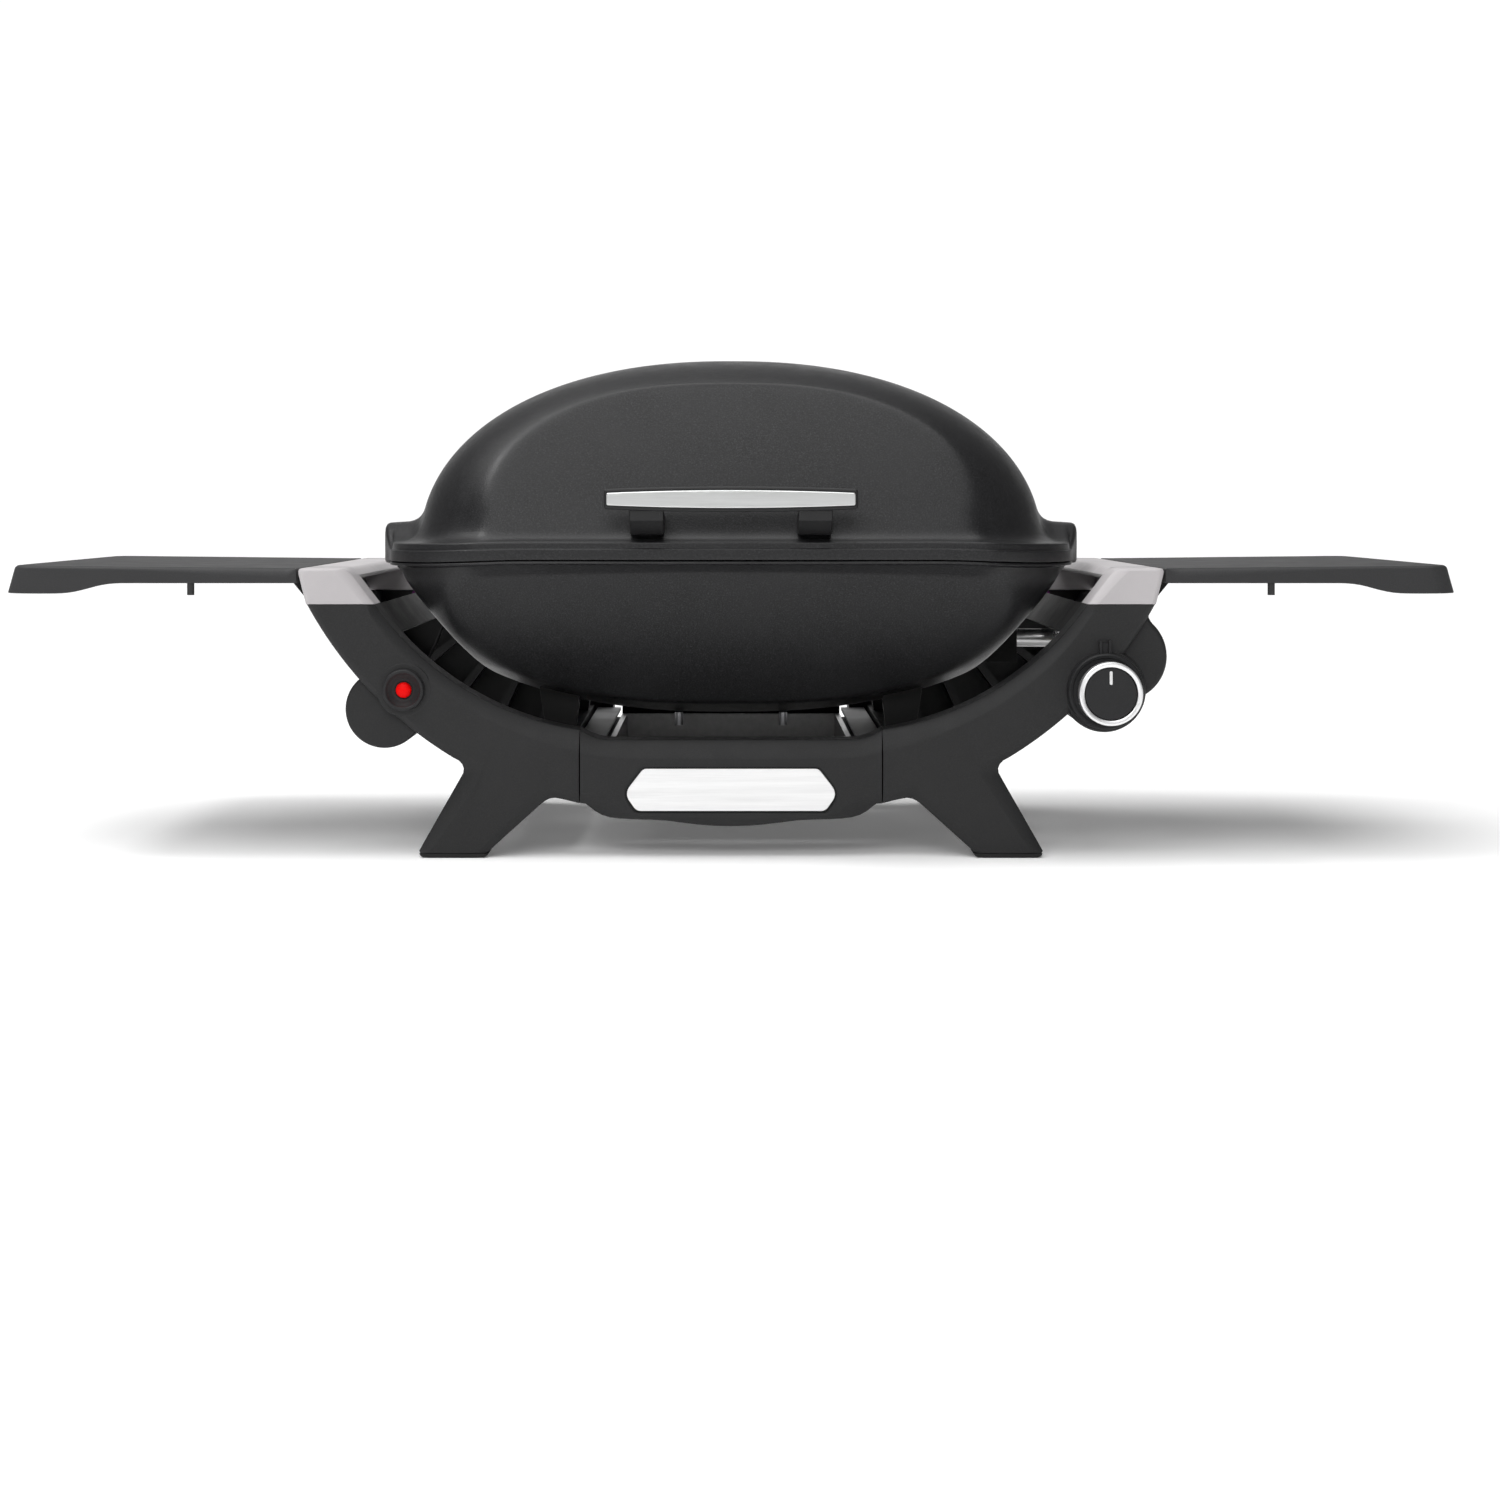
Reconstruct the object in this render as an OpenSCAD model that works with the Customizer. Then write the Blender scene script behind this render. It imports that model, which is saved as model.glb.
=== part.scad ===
// Portable gas barbecue grill on a cradle frame with two fold-up side tables.
// X runs to the right, Y to the back, Z up; the feet stand on Z = 0.

/* [Frame] */
// Half depth of the cradle frame, front face to middle
frame_half_d = 203; // [190:1:206]
// Depth of one frame arm, front to back
arm_d = 38; // [30:1:44]
// Skin and wall thickness of the plastic mouldings
wall = 4; // [3:0.5:5]
// Radius of the upper, inner edge of an arm
inner_r = 270; // [266:1:274]
// Radius of the lower, outer edge of an arm
outer_r = 358; // [354:1:360]
// Half width of the centre panel, where the arm seams are
seam_x = 135; // [130:1:140]
// Height of the seam between an arm and its metal cap
cap_z = 225; // [220:1:230]
// Height of the top of the metal caps
cap_top_z = 257; // [256:0.5:258]

/* [Cooking box] */
// Half width of the box at its rim
box_a = 312; // [306:1:316]
// Half depth of the box at its rim
box_b = 222; // [216:1:224]
// Depth of the bowl below its rim
box_c = 150; // [145:1:152]
// Height of the box rim
rim_z = 264.4; // [264:0.1:264.6]
// Thickness of the cast walls of box and lid
cast = 4; // [3:0.5:5]

/* [Lid] */
// Half width of the lid dome
lid_a = 296; // [290:1:300]
// Half depth the dome would have without its flatter front and back faces
lid_b = 241; // [236:1:246]
// Half depth of the lid at the foot of its front and back faces
lid_face = 214; // [208:1:216]
// Height of the lid dome above its base plane
lid_c = 182; // [175:1:185]
// Height of the lower edge of the lid
lid_z = 265; // [264.9:0.1:266]
// Half width of the handle
handle_half_w = 111; // [100:1:115]

/* [Side tables] */
// Half width of the grill over both open tables
table_end_x = 651; // [600:1:655]
// Half depth of a table
table_half_d = 197; // [180:1:199]
// Distance of the fold axis from the middle
fold_x = 374; // [373:0.5:374.5]
// Height of the fold axis
fold_z = 250; // [249.5:0.5:250]

/* [Controls] */
// Distance of the knob axis from the middle
knob_x = 333; // [330:1:335]
// Height of the knob axis
knob_z = 148; // [145:1:150]
// Radius of the metal ring on the knob
knob_r = 28.5; // [26:0.5:30]
// Distance of the igniter button from the middle
button_x = 291; // [288:1:294]

/* [Hidden] */
$fn = 48;

// Frame curves: centres of the inner and the outer arm edge.
inner_c = [97, 380];
outer_c = [63, 395];
cap_in = 318.3;
cap_out = 378.7;
pad_h = 4;
arm_y = frame_half_d - arm_d;

// Shape exponents of the bowl and of the lid dome.
bowl_plan = 3;
bowl_round = 2.1;
dome_plan = 3.1;
dome_soften = 0.6;
dome_round = 2.2;
face_round = 1.75;
face_c = 207;
edge_sharp = 14;

// Grid of the two cast shells.
shell_turns = 72;
shell_rings = 13;
base_z = 270;
pole_a = 85;

// Hinge of the lid.
hinge_x = 150;
hinge_y = 242;
hinge_z = 262;
hinge_r = 8;
hinge_pin_r = 4;

// Fold hinge of the tables.
arm_hinge_y = 150;
arm_hinge_w = 12;
fold_pin_r = 2.5;
fit = 0.08;

// Burner and grates.
tube_r = 8.5;
tube_y = -30;
tube_z = 186;
grate_z = 246;
grate_h = 9;

// Round housings behind the arms: X, Z and radius.
left_disc = [310, 131, 35];
right_disc = [350, 178, 40];

// Pan holder: inner half width, inner front and back along Y, underside and wall.
pan_w = 109;
pan_front = -127;
pan_back = 147;
pan_floor = 66;
pan_wall = 3;

// Middle height of the handle.
handle_z = 318.7;

// Controls.
button_z = 149;
button_r = 7;
button_boss_r = 24;
module_r = 13;
knob_boss_r = 36;
stem_r = 3.5;
ring_w = 5.5;
inlet_hex_r = 11;
inlet_bottom_z = 112;
front_y = -frame_half_d;
knob_back_y = front_y - 14;
inlet_y = -160;

// Points of an arc around c, angles from straight down towards +X.
function arc(c, r, a0, a1, n = 24) =
    [for (i = [0:n]) let (a = a0 + (a1 - a0) * i / n) [c[0] + r * sin(a), c[1] - r * cos(a)]];

// Angle from straight down at which a circle reaches a height or a distance.
function at_height(c, r, z) = acos((c[1] - z) / r);
function at_side(c, r, x) = asin((x - c[0]) / r);

// An outline in the XZ plane given a depth along Y, from y0 to y1.
module slab(y0, y1) {
    translate([0, y1, 0]) rotate([90, 0, 0]) linear_extrude(height = y1 - y0) children();
}

// A round bar along Y.
module bar_y(x, z, r, y0, y1) {
    translate([x, y1, z]) rotate([90, 0, 0]) cylinder(r = r, h = y1 - y0);
}

// A round bar along X.
module bar_x(y, z, r, x0, x1) {
    translate([x0, y, z]) rotate([0, 90, 0]) cylinder(r = r, h = x1 - x0);
}

// A circle at a point of a flat outline.
module circle_at(x, z, r) {
    translate([x, z]) circle(r = r);
}

// A closed shell through rings of points; the first ring is the outer pole end.
module ring_solid(rings, closed_loop) {
    n = len(rings[0]);
    m = len(rings);
    pts = [for (ring = rings) for (p = ring) p];
    last = closed_loop ? m - 1 : m - 2;
    sides = [for (k = [0:last]) for (i = [0:n - 1])
        let (a = k * n + i, b = k * n + (i + 1) % n)
        let (c = ((k + 1) % m) * n + i, d = ((k + 1) % m) * n + (i + 1) % n)
        each [[a, c, b], [b, c, d]]];
    caps = closed_loop ? [] : [
        [for (i = [0:n - 1]) i],
        [for (i = [0:n - 1]) (m - 1) * n + n - 1 - i]];
    polyhedron(points = pts, faces = concat(sides, caps), convexity = 6);
}

// ---- Frame ----

// Outline of one arm with its leg.
module arm_outline() {
    in_0 = at_side(inner_c, inner_r, seam_x);
    in_1 = at_height(inner_c, inner_r, cap_z);
    out_0 = at_height(outer_c, outer_r, 88);
    out_1 = at_height(outer_c, outer_r, cap_z);
    leg = [[seam_x, 47], [159, 52], [166, 49.5], [214, 6], [216, pad_h], [277, pad_h],
        [278, 6], [239, 76], [239, 82]];
    polygon(concat(arc(inner_c, inner_r, in_1, in_0), leg,
        arc(outer_c, outer_r, out_0, out_1)));
}

// Pockets behind the front skin, with ribs left between them.
module arm_pockets() {
    start = at_side(inner_c, inner_r, seam_x + 16);
    stop = at_height(inner_c, inner_r, cap_z) - 5;
    cells = 5;
    step = (stop - start) / cells;
    shift = 3.6;
    rib = 0.7;
    for (i = [0:cells - 1]) {
        a0 = start + step * i + rib;
        a1 = start + step * (i + 1) - rib;
        polygon(concat(arc(inner_c, inner_r + wall, a0, a1, 6),
            arc(outer_c, outer_r - wall, a1 + shift, a0 + shift, 6)));
    }
}

module one_arm() {
    difference() {
        slab(-frame_half_d, -arm_y) arm_outline();
        slab(-frame_half_d + wall + 1, -arm_y + 1) arm_pockets();
    }
}

// Cross bars that join the front and the rear legs.
module leg_ties() {
    slab(-arm_y - 1, arm_y + 1) polygon([[196, 62], [228, 62], [232, 74], [196, 78]]);
    slab(-arm_y - 1, arm_y + 1) polygon([[348, 196], [358, 196], [373, 224], [363, 224]]);
}

module end_frame_half() {
    one_arm();
    mirror([0, 1, 0]) one_arm();
    leg_ties();
}

module left_end_frame() {
    color([0.2, 0.2, 0.21]) mirror([1, 0, 0]) difference() {
        union() {
            end_frame_half();
            bar_y(left_disc[0], left_disc[1], left_disc[2], front_y + 12, front_y + 70);
            bar_y(button_x, button_z, button_boss_r, front_y, front_y + wall + 1);
        }
        bar_y(left_disc[0], left_disc[1], left_disc[2] - wall, front_y + 16, front_y + 71);
        bar_y(button_x, button_z, module_r + wall, front_y + wall + 1, front_y + 71);
        bar_y(button_x, button_z, button_r + 1, front_y - 1, front_y + wall + 2);
    }
}

module right_end_frame() {
    color([0.2, 0.2, 0.21]) difference() {
        union() {
            end_frame_half();
            bar_y(right_disc[0], right_disc[1], right_disc[2], front_y + 10, front_y + 80);
            bar_y(knob_x, knob_z, knob_boss_r, front_y, front_y + 80);
        }
        bar_y(right_disc[0], right_disc[1], right_disc[2] - wall, front_y + 14, front_y + 81);
        bar_y(knob_x, knob_z, knob_boss_r - wall, front_y + wall + 1, front_y + 81);
        bar_y(knob_x, knob_z, 6, front_y - 1, front_y + wall + 2);
        translate([knob_x, inlet_y, knob_z - 50]) cylinder(r = inlet_hex_r + 1, h = 30);
    }
}

// Outline of the centre panel: its right half and the same points mirrored.
module panel_outline() {
    half = [[0, 27.5], [62, 33], [108, 34], [123, 41], [129, 47], [seam_x, 47], [seam_x, 112.7],
        [112, 104]];
    n = len(half);
    polygon(concat(half, [for (i = [n - 1:-1:1]) [-half[i][0], half[i][1]]]));
}

module panel_recess() {
    polygon([[-86, 39.5], [86, 39.5], [97.5, 57], [79.5, 81], [-79.5, 81], [-97.5, 57]]);
}

module front_panel() {
    color([0.2, 0.2, 0.21]) difference() {
        slab(front_y - 2, front_y + arm_d) panel_outline();
        slab(front_y + wall, front_y + arm_d + 1)
            polygon([[-118, 45], [118, 45], [128, 52], [128, 104], [112, 99], [-112, 99],
                [-128, 104], [-128, 52]]);
        slab(front_y - 3, front_y - 0.5) panel_recess();
    }
}

module rear_panel() {
    color([0.2, 0.2, 0.21]) difference() {
        slab(arm_y, frame_half_d + 2) panel_outline();
        slab(arm_y - 1, frame_half_d + 3)
            polygon([[-122, 54], [122, 54], [122, 120], [-122, 120]]);
    }
}

module badge_plate() {
    color([0.85, 0.85, 0.86]) slab(front_y - 2, front_y - 0.5)
        polygon([[-84, 41.5], [84, 41.5], [95, 57], [78, 79], [-78, 79], [-95, 57]]);
}

// Full section of a metal cap.
module cap_outline() {
    polygon([[cap_out, cap_z], [386, 254], [384, cap_top_z], [345, cap_top_z], [337, 250],
        [cap_in, cap_z]]);
}

// Hollow section of the hand rail between the two legs of a cap.
module rail_outline() {
    polygon([[cap_out, cap_z], [386, 254], [384, cap_top_z], [345, cap_top_z], [337, 250],
        [341, 246], [347, 252.5], [379.5, 252.5], [381.8, 250], [375.4, cap_z]]);
}

// Cheek that carries the pin of a table hinge.
module pin_cheek(y) {
    difference() {
        slab(y - 2.5, y + 2.5) union() {
            translate([fold_x - 6, fold_z]) square([9, 4]);
            circle_at(fold_x, fold_z, 6);
        }
        bar_y(fold_x, fold_z, fold_pin_r, y - 3, y + 3);
    }
}

module right_cap() {
    gap = arm_hinge_w / 2 + 0.5;
    color([0.72, 0.7, 0.71]) {
        difference() {
            union() {
                slab(-frame_half_d, -arm_y + 8) cap_outline();
                slab(arm_y - 8, frame_half_d) cap_outline();
                slab(-arm_y, arm_y) rail_outline();
            }
            for (s = [-1, 1]) {
                translate([362, s * arm_hinge_y - gap, 238]) cube([30, 2 * gap, 30]);
                bar_y(fold_x, fold_z, fold_pin_r, s * (arm_hinge_y + 9) - 4,
                    s * (arm_hinge_y + 9) + 4);
            }
        }
        for (s = [-1, 1]) {
            pin_cheek(s * (arm_hinge_y - gap - 2.5));
        }
    }
}

module left_cap() {
    mirror([1, 0, 0]) right_cap();
}

// Inner skin between the front and the rear arm, below the hand rail.
module side_panel_body() {
    in_r = inner_r + 1;
    a0 = at_height(inner_c, in_r, 199);
    a1 = at_height(inner_c, in_r, cap_z - 0.5);
    slab(-arm_y, arm_y) polygon(concat(arc(inner_c, in_r, a0, a1, 8),
        arc(inner_c, in_r + 3, a1, a0, 8)));
}

module right_side_panel() {
    color([0.1, 0.1, 0.1]) side_panel_body();
}

module left_side_panel() {
    color([0.1, 0.1, 0.1]) mirror([1, 0, 0]) side_panel_body();
}

module foot_pads() {
    color([0.08, 0.08, 0.08]) for (sx = [0, 1]) for (sy = [0, 1]) mirror([sx, 0, 0])
        mirror([0, sy, 0]) translate([216, -frame_half_d, 0]) cube([61, arm_d, pad_h]);
}

// Rail from the front to the rear panel with two uprights that carry the box.
module support_rail_body() {
    rail_x = 141;
    rail_w = 34;
    slab(-arm_y, arm_y) polygon([[rail_x, 92], [rail_x + rail_w, 100],
        [rail_x + rail_w, 106], [rail_x, 106]]);
    for (s = [0, 1]) {
        mirror([0, s, 0]) difference() {
            slab(-112, -92) polygon([[rail_x + 3, 104], [rail_x + 30, 104], [184, 190], [134, 190]]);
            bowl_block(0.3);
        }
    }
}

module right_support_rail() {
    color([0.12, 0.12, 0.12]) support_rail_body();
}

module left_support_rail() {
    color([0.12, 0.12, 0.12]) mirror([1, 0, 0]) support_rail_body();
}

// Guide channels that hold the drip pan.
module tray_rails() {
    color([0.6, 0.6, 0.62]) for (s = [0, 1]) mirror([s, 0, 0]) slab(-arm_y, arm_y)
        polygon([[114, 88], [138, 88], [138, 103], [114, 103], [114, 100], [135, 100], [135, 91],
            [114, 91]]);
}

module frame_screws() {
    color([0.7, 0.7, 0.72]) for (sx = [-1, 1]) for (sy = [-1, 1]) {
        bar_x(sy * (frame_half_d - 20), 100, 4, sx * seam_x - 9, sx * seam_x + 9);
        bar_x(sy * (frame_half_d - 20), 60, 4, sx * seam_x - 9, sx * seam_x + 9);
    }
}

module panel_clips() {
    color([0.45, 0.1, 0.5]) for (sx = [-1, 1]) for (sy = [-1, 1]) {
        bar_y(sx * 326, 221, 4, sy * (arm_y - 4) - 4, sy * (arm_y - 4) + 4);
    }
}

// ---- Cooking box ----

// Size of the bowl in a direction: 1 on its surface, below 1 inside it.
function bowl_norm(x, y, d, t) =
    let (plan = pow(pow(abs(x) / (box_a + 6 - t), bowl_plan)
        + pow(abs(y) / (box_b + 36 - t), bowl_plan), bowl_round / bowl_plan))
    let (body = pow(plan + pow(d / (box_c - t), bowl_round), 1 / bowl_round))
    let (side = abs(x) / (box_a - t) + d / (386 - t))
    let (face = abs(y) / (box_b - t) + d / (305 - t))
    pow(pow(body, edge_sharp) + pow(side, edge_sharp) + pow(face, edge_sharp), 1 / edge_sharp);

function bowl_point(a, e, t) =
    let (x = cos(a) * cos(e), y = sin(a) * cos(e), r = 1 / bowl_norm(x, y, sin(e), t))
    [r * x, r * y, rim_z - r * sin(e)];

function bowl_ring(e, t) = [for (i = [0:shell_turns - 1]) bowl_point(360 * i / shell_turns, e, t)];

// Plan ring of the rim, moved out by g and set at height z.
function rim_ring(t, g, z) = [for (i = [0:shell_turns - 1])
    let (p = bowl_point(360 * i / shell_turns, 0, t), r = norm([p[0], p[1]]))
    [p[0] * (r + g) / r, p[1] * (r + g) / r, z]];

bowl_rings = [for (k = [0:shell_rings]) pole_a - (pole_a - 4) * k / shell_rings];
bowl_inside = [for (k = [0:shell_rings]) 4 + (pole_a - 4) * k / shell_rings];

// The bowl as one full block, used to trim what bears against it.
module bowl_block(gap) {
    ring_solid(concat([for (e = bowl_rings) bowl_ring(e, -gap)], [rim_ring(-gap, 0, rim_z)]), false);
}

module cooking_box() {
    rings = concat([for (e = bowl_rings) bowl_ring(e, 0)],
        [rim_ring(0, 1, rim_z - 6), rim_ring(0, 7, rim_z - 4.5), rim_ring(0, 7, rim_z),
            rim_ring(cast, 0, rim_z)],
        [for (e = bowl_inside) bowl_ring(e, cast)]);
    color([0.13, 0.13, 0.14]) difference() {
        union() {
            ring_solid(rings, true);
            grate_ledges();
        }
        bar_x(tube_y, tube_z, tube_r + 1, 200, 300);
    }
}

// Small cast steps on the inner walls that the grates lie on.
module grate_ledges() {
    ledge_h = 9;
    for (sx = [0, 1]) for (sy = [0, 1]) mirror([sx, 0, 0]) mirror([0, sy, 0]) {
        translate([273, 52, grate_z - ledge_h]) cube([15.5, 16, ledge_h]);
        for (x = [62, 172]) {
            translate([x, 184, grate_z - ledge_h]) cube([16, 15, ledge_h]);
        }
    }
}

// Steel post that holds the far end of the burner off the floor of the box.
module burner_post() {
    color([0.66, 0.66, 0.68]) translate([-175, -9, 139]) cube([8, 18, 39.5]);
}

module box_screws() {
    color([0.6, 0.6, 0.62]) for (sx = [-1, 1]) {
        translate([sx * 49, -70, 106]) cylinder(r = 4, h = 12);
    }
}

// Ears on the back of the box that hold the lid pins.
module hinge_brackets() {
    color([0.13, 0.13, 0.14]) for (sx = [-1, 1]) for (side = [-1, 1]) {
        x = sx * hinge_x + side * 17;
        difference() {
            translate([x - 4, 0, 0]) rotate([90, 0, 90]) linear_extrude(height = 8) union() {
                polygon([[212, 240], [222, 236], [hinge_y + 4, hinge_z - 7], [hinge_y, hinge_z],
                    [hinge_y - 4, hinge_z + 7], [228, 260], [216, 258]]);
                circle_at(hinge_y, hinge_z, hinge_r);
            }
            bar_x(hinge_y, hinge_z, hinge_pin_r, x - 5, x + 5);
        }
    }
}

module hinge_pins() {
    color([0.7, 0.7, 0.72]) for (sx = [-1, 1]) {
        bar_x(hinge_y, hinge_z, hinge_pin_r, sx * hinge_x - 24, sx * hinge_x + 24);
    }
}

// Plan outline of both grates together.
module grate_field(inset) {
    polygon([for (i = [0:71]) let (p = bowl_point(5 * i, 5.5, cast + 2 + inset)) [p[0], p[1]]]);
}

// Right half of the cooking grate: rim, bars and cross ties.
module grate_body() {
    pitch = 15.5;
    bar = 6;
    translate([0, 0, grate_z]) linear_extrude(height = grate_h) intersection() {
        translate([0.6, -250]) square([320, 500]);
        union() {
            difference() {
                grate_field(0);
                grate_field(9);
            }
            intersection() {
                grate_field(4);
                union() {
                    translate([0.6, -210]) square([7, 420]);
                    for (i = [1:17]) {
                        translate([i * pitch + 2, -210]) square([bar, 420]);
                    }
                    for (y = [-100, 0, 100]) {
                        translate([0.6, y - 3.5]) square([290, 7]);
                    }
                }
            }
        }
    }
}

module right_grate() {
    color([0.09, 0.09, 0.09]) grate_body();
}

module left_grate() {
    color([0.09, 0.09, 0.09]) mirror([1, 0, 0]) grate_body();
}

// ---- Burner and gas parts ----

module quarter_bend(r) {
    rotate_extrude(angle = 90) translate([r, 0]) circle(r = tube_r);
}

// Closed loop of steel tube around the floor of the bowl.
module burner() {
    half_x = 170;
    half_y = 85;
    bend = 45;
    color([0.66, 0.66, 0.68]) translate([0, 0, tube_z]) union() {
        for (s = [-1, 1]) {
            bar_x(s * half_y, 0, tube_r, -half_x + bend, half_x - bend);
            bar_y(s * half_x, 0, tube_r, -half_y + bend, half_y - bend);
        }
        for (turn = [0:3]) {
            corner_x = turn == 0 || turn == 3 ? half_x - bend : bend - half_x;
            corner_y = turn < 2 ? half_y - bend : bend - half_y;
            translate([corner_x, corner_y, 0]) rotate(90 * turn) quarter_bend(bend);
        }
    }
}

module burner_collar() {
    color([0.1, 0.1, 0.1]) difference() {
        translate([236, tube_y - 20, tube_z - 22]) cube([36, 40, 40]);
        bowl_block(0);
        bar_x(tube_y, tube_z, tube_r, 230, 280);
    }
}

module venturi_tube() {
    color([0.8, 0.8, 0.82]) difference() {
        bar_x(tube_y, tube_z, tube_r, 168, 322);
        bar_x(tube_y, tube_z, tube_r - 1, 169, 323);
    }
}

module gas_line() {
    color([0.75, 0.75, 0.77]) union() {
        bar_y(knob_x, knob_z, 3.5, -118, tube_y);
        translate([knob_x, tube_y, knob_z]) sphere(r = 3.5);
        translate([knob_x, tube_y, knob_z]) cylinder(r = 3.5, h = tube_z - knob_z);
        translate([knob_x, tube_y, tube_z]) sphere(r = 3.5);
        bar_x(tube_y, tube_z, 3.5, 312, knob_x);
    }
}

module gas_valve() {
    color([0.62, 0.6, 0.5]) difference() {
        union() {
            bar_y(knob_x, knob_z, 15, -190, -136);
            bar_y(knob_x, knob_z, 8, -136, -118);
        }
        bar_y(knob_x, knob_z, 8.4, -191, -176);
    }
}

module gas_inlet() {
    color([0.6, 0.58, 0.4]) difference() {
        union() {
            translate([knob_x, inlet_y, inlet_bottom_z + 6]) cylinder(r = 8, h = 18);
            translate([knob_x, inlet_y, inlet_bottom_z]) cylinder(r = inlet_hex_r, h = 12, $fn = 6);
        }
        translate([knob_x, inlet_y, inlet_bottom_z - 1]) cylinder(r = 4, h = 20);
    }
}

module electrode() {
    color([0.9, 0.88, 0.82]) union() {
        bar_x(30, 205, 4, -268, -200);
        bar_x(30, 205, 1.5, -200, -184);
    }
}

// Points of the igniter lead, from the module to the electrode.
lead_points = [[-291, -128, 149], [-291, -110, 149], [-290, -70, 158], [-284, -20, 180],
    [-280, 12, 197], [-274, 28, 204], [-268.2, 30, 205]];

// Ring of the lead's skin around a point, square to the direction v.
function lead_ring(p, v, r) =
    let (u = v / norm(v), s = cross([0, 0, 1], u), a = s / norm(s), b = cross(u, a))
    [for (i = [0:7]) p + r * cos(45 * i) * a + r * sin(45 * i) * b];

module igniter_lead() {
    n = len(lead_points);
    color([0.05, 0.05, 0.05]) ring_solid([for (k = [0:n - 1])
        lead_ring(lead_points[k],
            lead_points[min(k + 1, n - 1)] - lead_points[max(k - 1, 0)], 1.6)], false);
}

module igniter_module() {
    color([0.06, 0.06, 0.06]) difference() {
        bar_y(-button_x, button_z, module_r, front_y + wall + 1.2, -128);
        bar_y(-button_x, button_z, button_r + 0.2, front_y + wall, -170);
    }
}

module igniter_bezel() {
    color([0.14, 0.14, 0.15]) difference() {
        bar_y(-button_x, button_z, 18.5, front_y - 7, front_y);
        bar_y(-button_x, button_z, 14.5, front_y - 8, front_y - 2);
        bar_y(-button_x, button_z, 8, front_y - 9, front_y + 1);
    }
}

module igniter_button() {
    color([0.9, 0.02, 0.02]) bar_y(-button_x, button_z, button_r, front_y - 7, -180);
}

module knob_bezel() {
    color([0.14, 0.14, 0.15]) difference() {
        union() {
            bar_y(knob_x, knob_z, 34, front_y - 8, front_y);
            translate([knob_x - 6, front_y - 6, knob_z + 30]) cube([11, 6, 15]);
        }
        bar_y(knob_x, knob_z, 6, front_y - 9, front_y + 1);
    }
}

module stem_collar() {
    color([0.5, 0.5, 0.5]) difference() {
        bar_y(knob_x, knob_z, 8, -194, -182);
        bar_y(knob_x, knob_z, stem_r + fit, -195, -181);
    }
}

module valve_stem() {
    color([0.7, 0.7, 0.7]) bar_y(knob_x, knob_z, stem_r, knob_back_y - 10, -184);
}

module knob_body() {
    color([0.1, 0.1, 0.1]) difference() {
        bar_y(knob_x, knob_z, knob_r - 2.5, knob_back_y - 20, knob_back_y);
        bar_y(knob_x, knob_z, knob_r - ring_w, knob_back_y - 21, knob_back_y - 18);
        bar_y(knob_x, knob_z, stem_r, knob_back_y - 10, knob_back_y + 1);
    }
}

module knob_ring() {
    color([0.85, 0.85, 0.86]) difference() {
        bar_y(knob_x, knob_z, knob_r, knob_back_y - 22, knob_back_y - 12);
        bar_y(knob_x, knob_z, knob_r - 2.5, knob_back_y - 20, knob_back_y - 11);
        bar_y(knob_x, knob_z, knob_r - ring_w, knob_back_y - 23, knob_back_y - 19);
    }
}

module knob_face() {
    color([0.15, 0.15, 0.16]) difference() {
        bar_y(knob_x, knob_z, knob_r - ring_w, knob_back_y - 20.5, knob_back_y - 18);
        translate([knob_x - 1.2, knob_back_y - 22, knob_z + 8]) cube([2.4, 2, 12]);
    }
}

// ---- Drip pan ----

module drip_pan_holder() {
    x = pan_w + pan_wall;
    y = pan_front - pan_wall;
    depth = pan_back - pan_front + 2 * pan_wall;
    flange = 8.6;
    color([0.2, 0.2, 0.2]) {
        difference() {
            union() {
                translate([-x, y, pan_floor]) cube([2 * x, depth, 30]);
                translate([-x - flange, y, 91.4]) cube([2 * (x + flange), depth, 3]);
            }
            translate([-pan_w, pan_front, pan_floor + pan_wall])
                cube([2 * pan_w, pan_back - pan_front, 30]);
        }
        // Raised back edge to pull the pan out by.
        translate([-x, pan_back + pan_wall - 0.5, pan_floor]) cube([2 * x, 3.5, 29]);
        translate([-x, pan_back + pan_wall + 0.5, pan_floor]) cube([2 * x, 2.5, 41]);
    }
}

module foil_tray() {
    foil = 1.2;
    x = pan_w - 1;
    y = pan_front + 1;
    depth = pan_back - pan_front - 2;
    color([0.8, 0.8, 0.82]) difference() {
        union() {
            translate([-x, y, pan_floor + pan_wall]) cube([2 * x, depth, 27]);
            translate([-pan_w - pan_wall, pan_front - pan_wall, pan_floor + 30])
                cube([2 * (pan_w + pan_wall), depth + 8, 2]);
        }
        translate([-x + foil, y + foil, pan_floor + pan_wall + foil])
            cube([2 * (x - foil), depth - 2 * foil, 30]);
    }
}

// ---- Lid ----

// Size of the dome in a unit direction: 1 on its surface. The plan gets rounder upwards.
function dome_norm(x, y, z, t) =
    let (m = dome_plan - dome_soften * z)
    let (plan = pow(pow(abs(x) / (lid_a - t), m) + pow(abs(y) / (lid_b - t), m), dome_round / m))
    let (body = pow(plan + pow(z / (lid_c - t), dome_round), 1 / dome_round))
    let (face = pow(pow(abs(y) / (lid_face - t), face_round)
        + pow(z / (face_c - t), face_round), 1 / face_round))
    pow(pow(body, edge_sharp) + pow(face, edge_sharp), 1 / edge_sharp);

function dome_point(a, e, t) =
    let (x = cos(a) * cos(e), y = sin(a) * cos(e), r = 1 / dome_norm(x, y, sin(e), t))
    [r * x, r * y, base_z + r * sin(e)];

function dome_ring(e, t) = [for (i = [0:shell_turns - 1]) dome_point(360 * i / shell_turns, e, t)];

dome_inside = [for (k = [0:shell_rings]) 88 - 86 * k / shell_rings];
dome_rings = [for (k = [0:shell_rings]) 6 + 82 * k / shell_rings];

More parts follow.
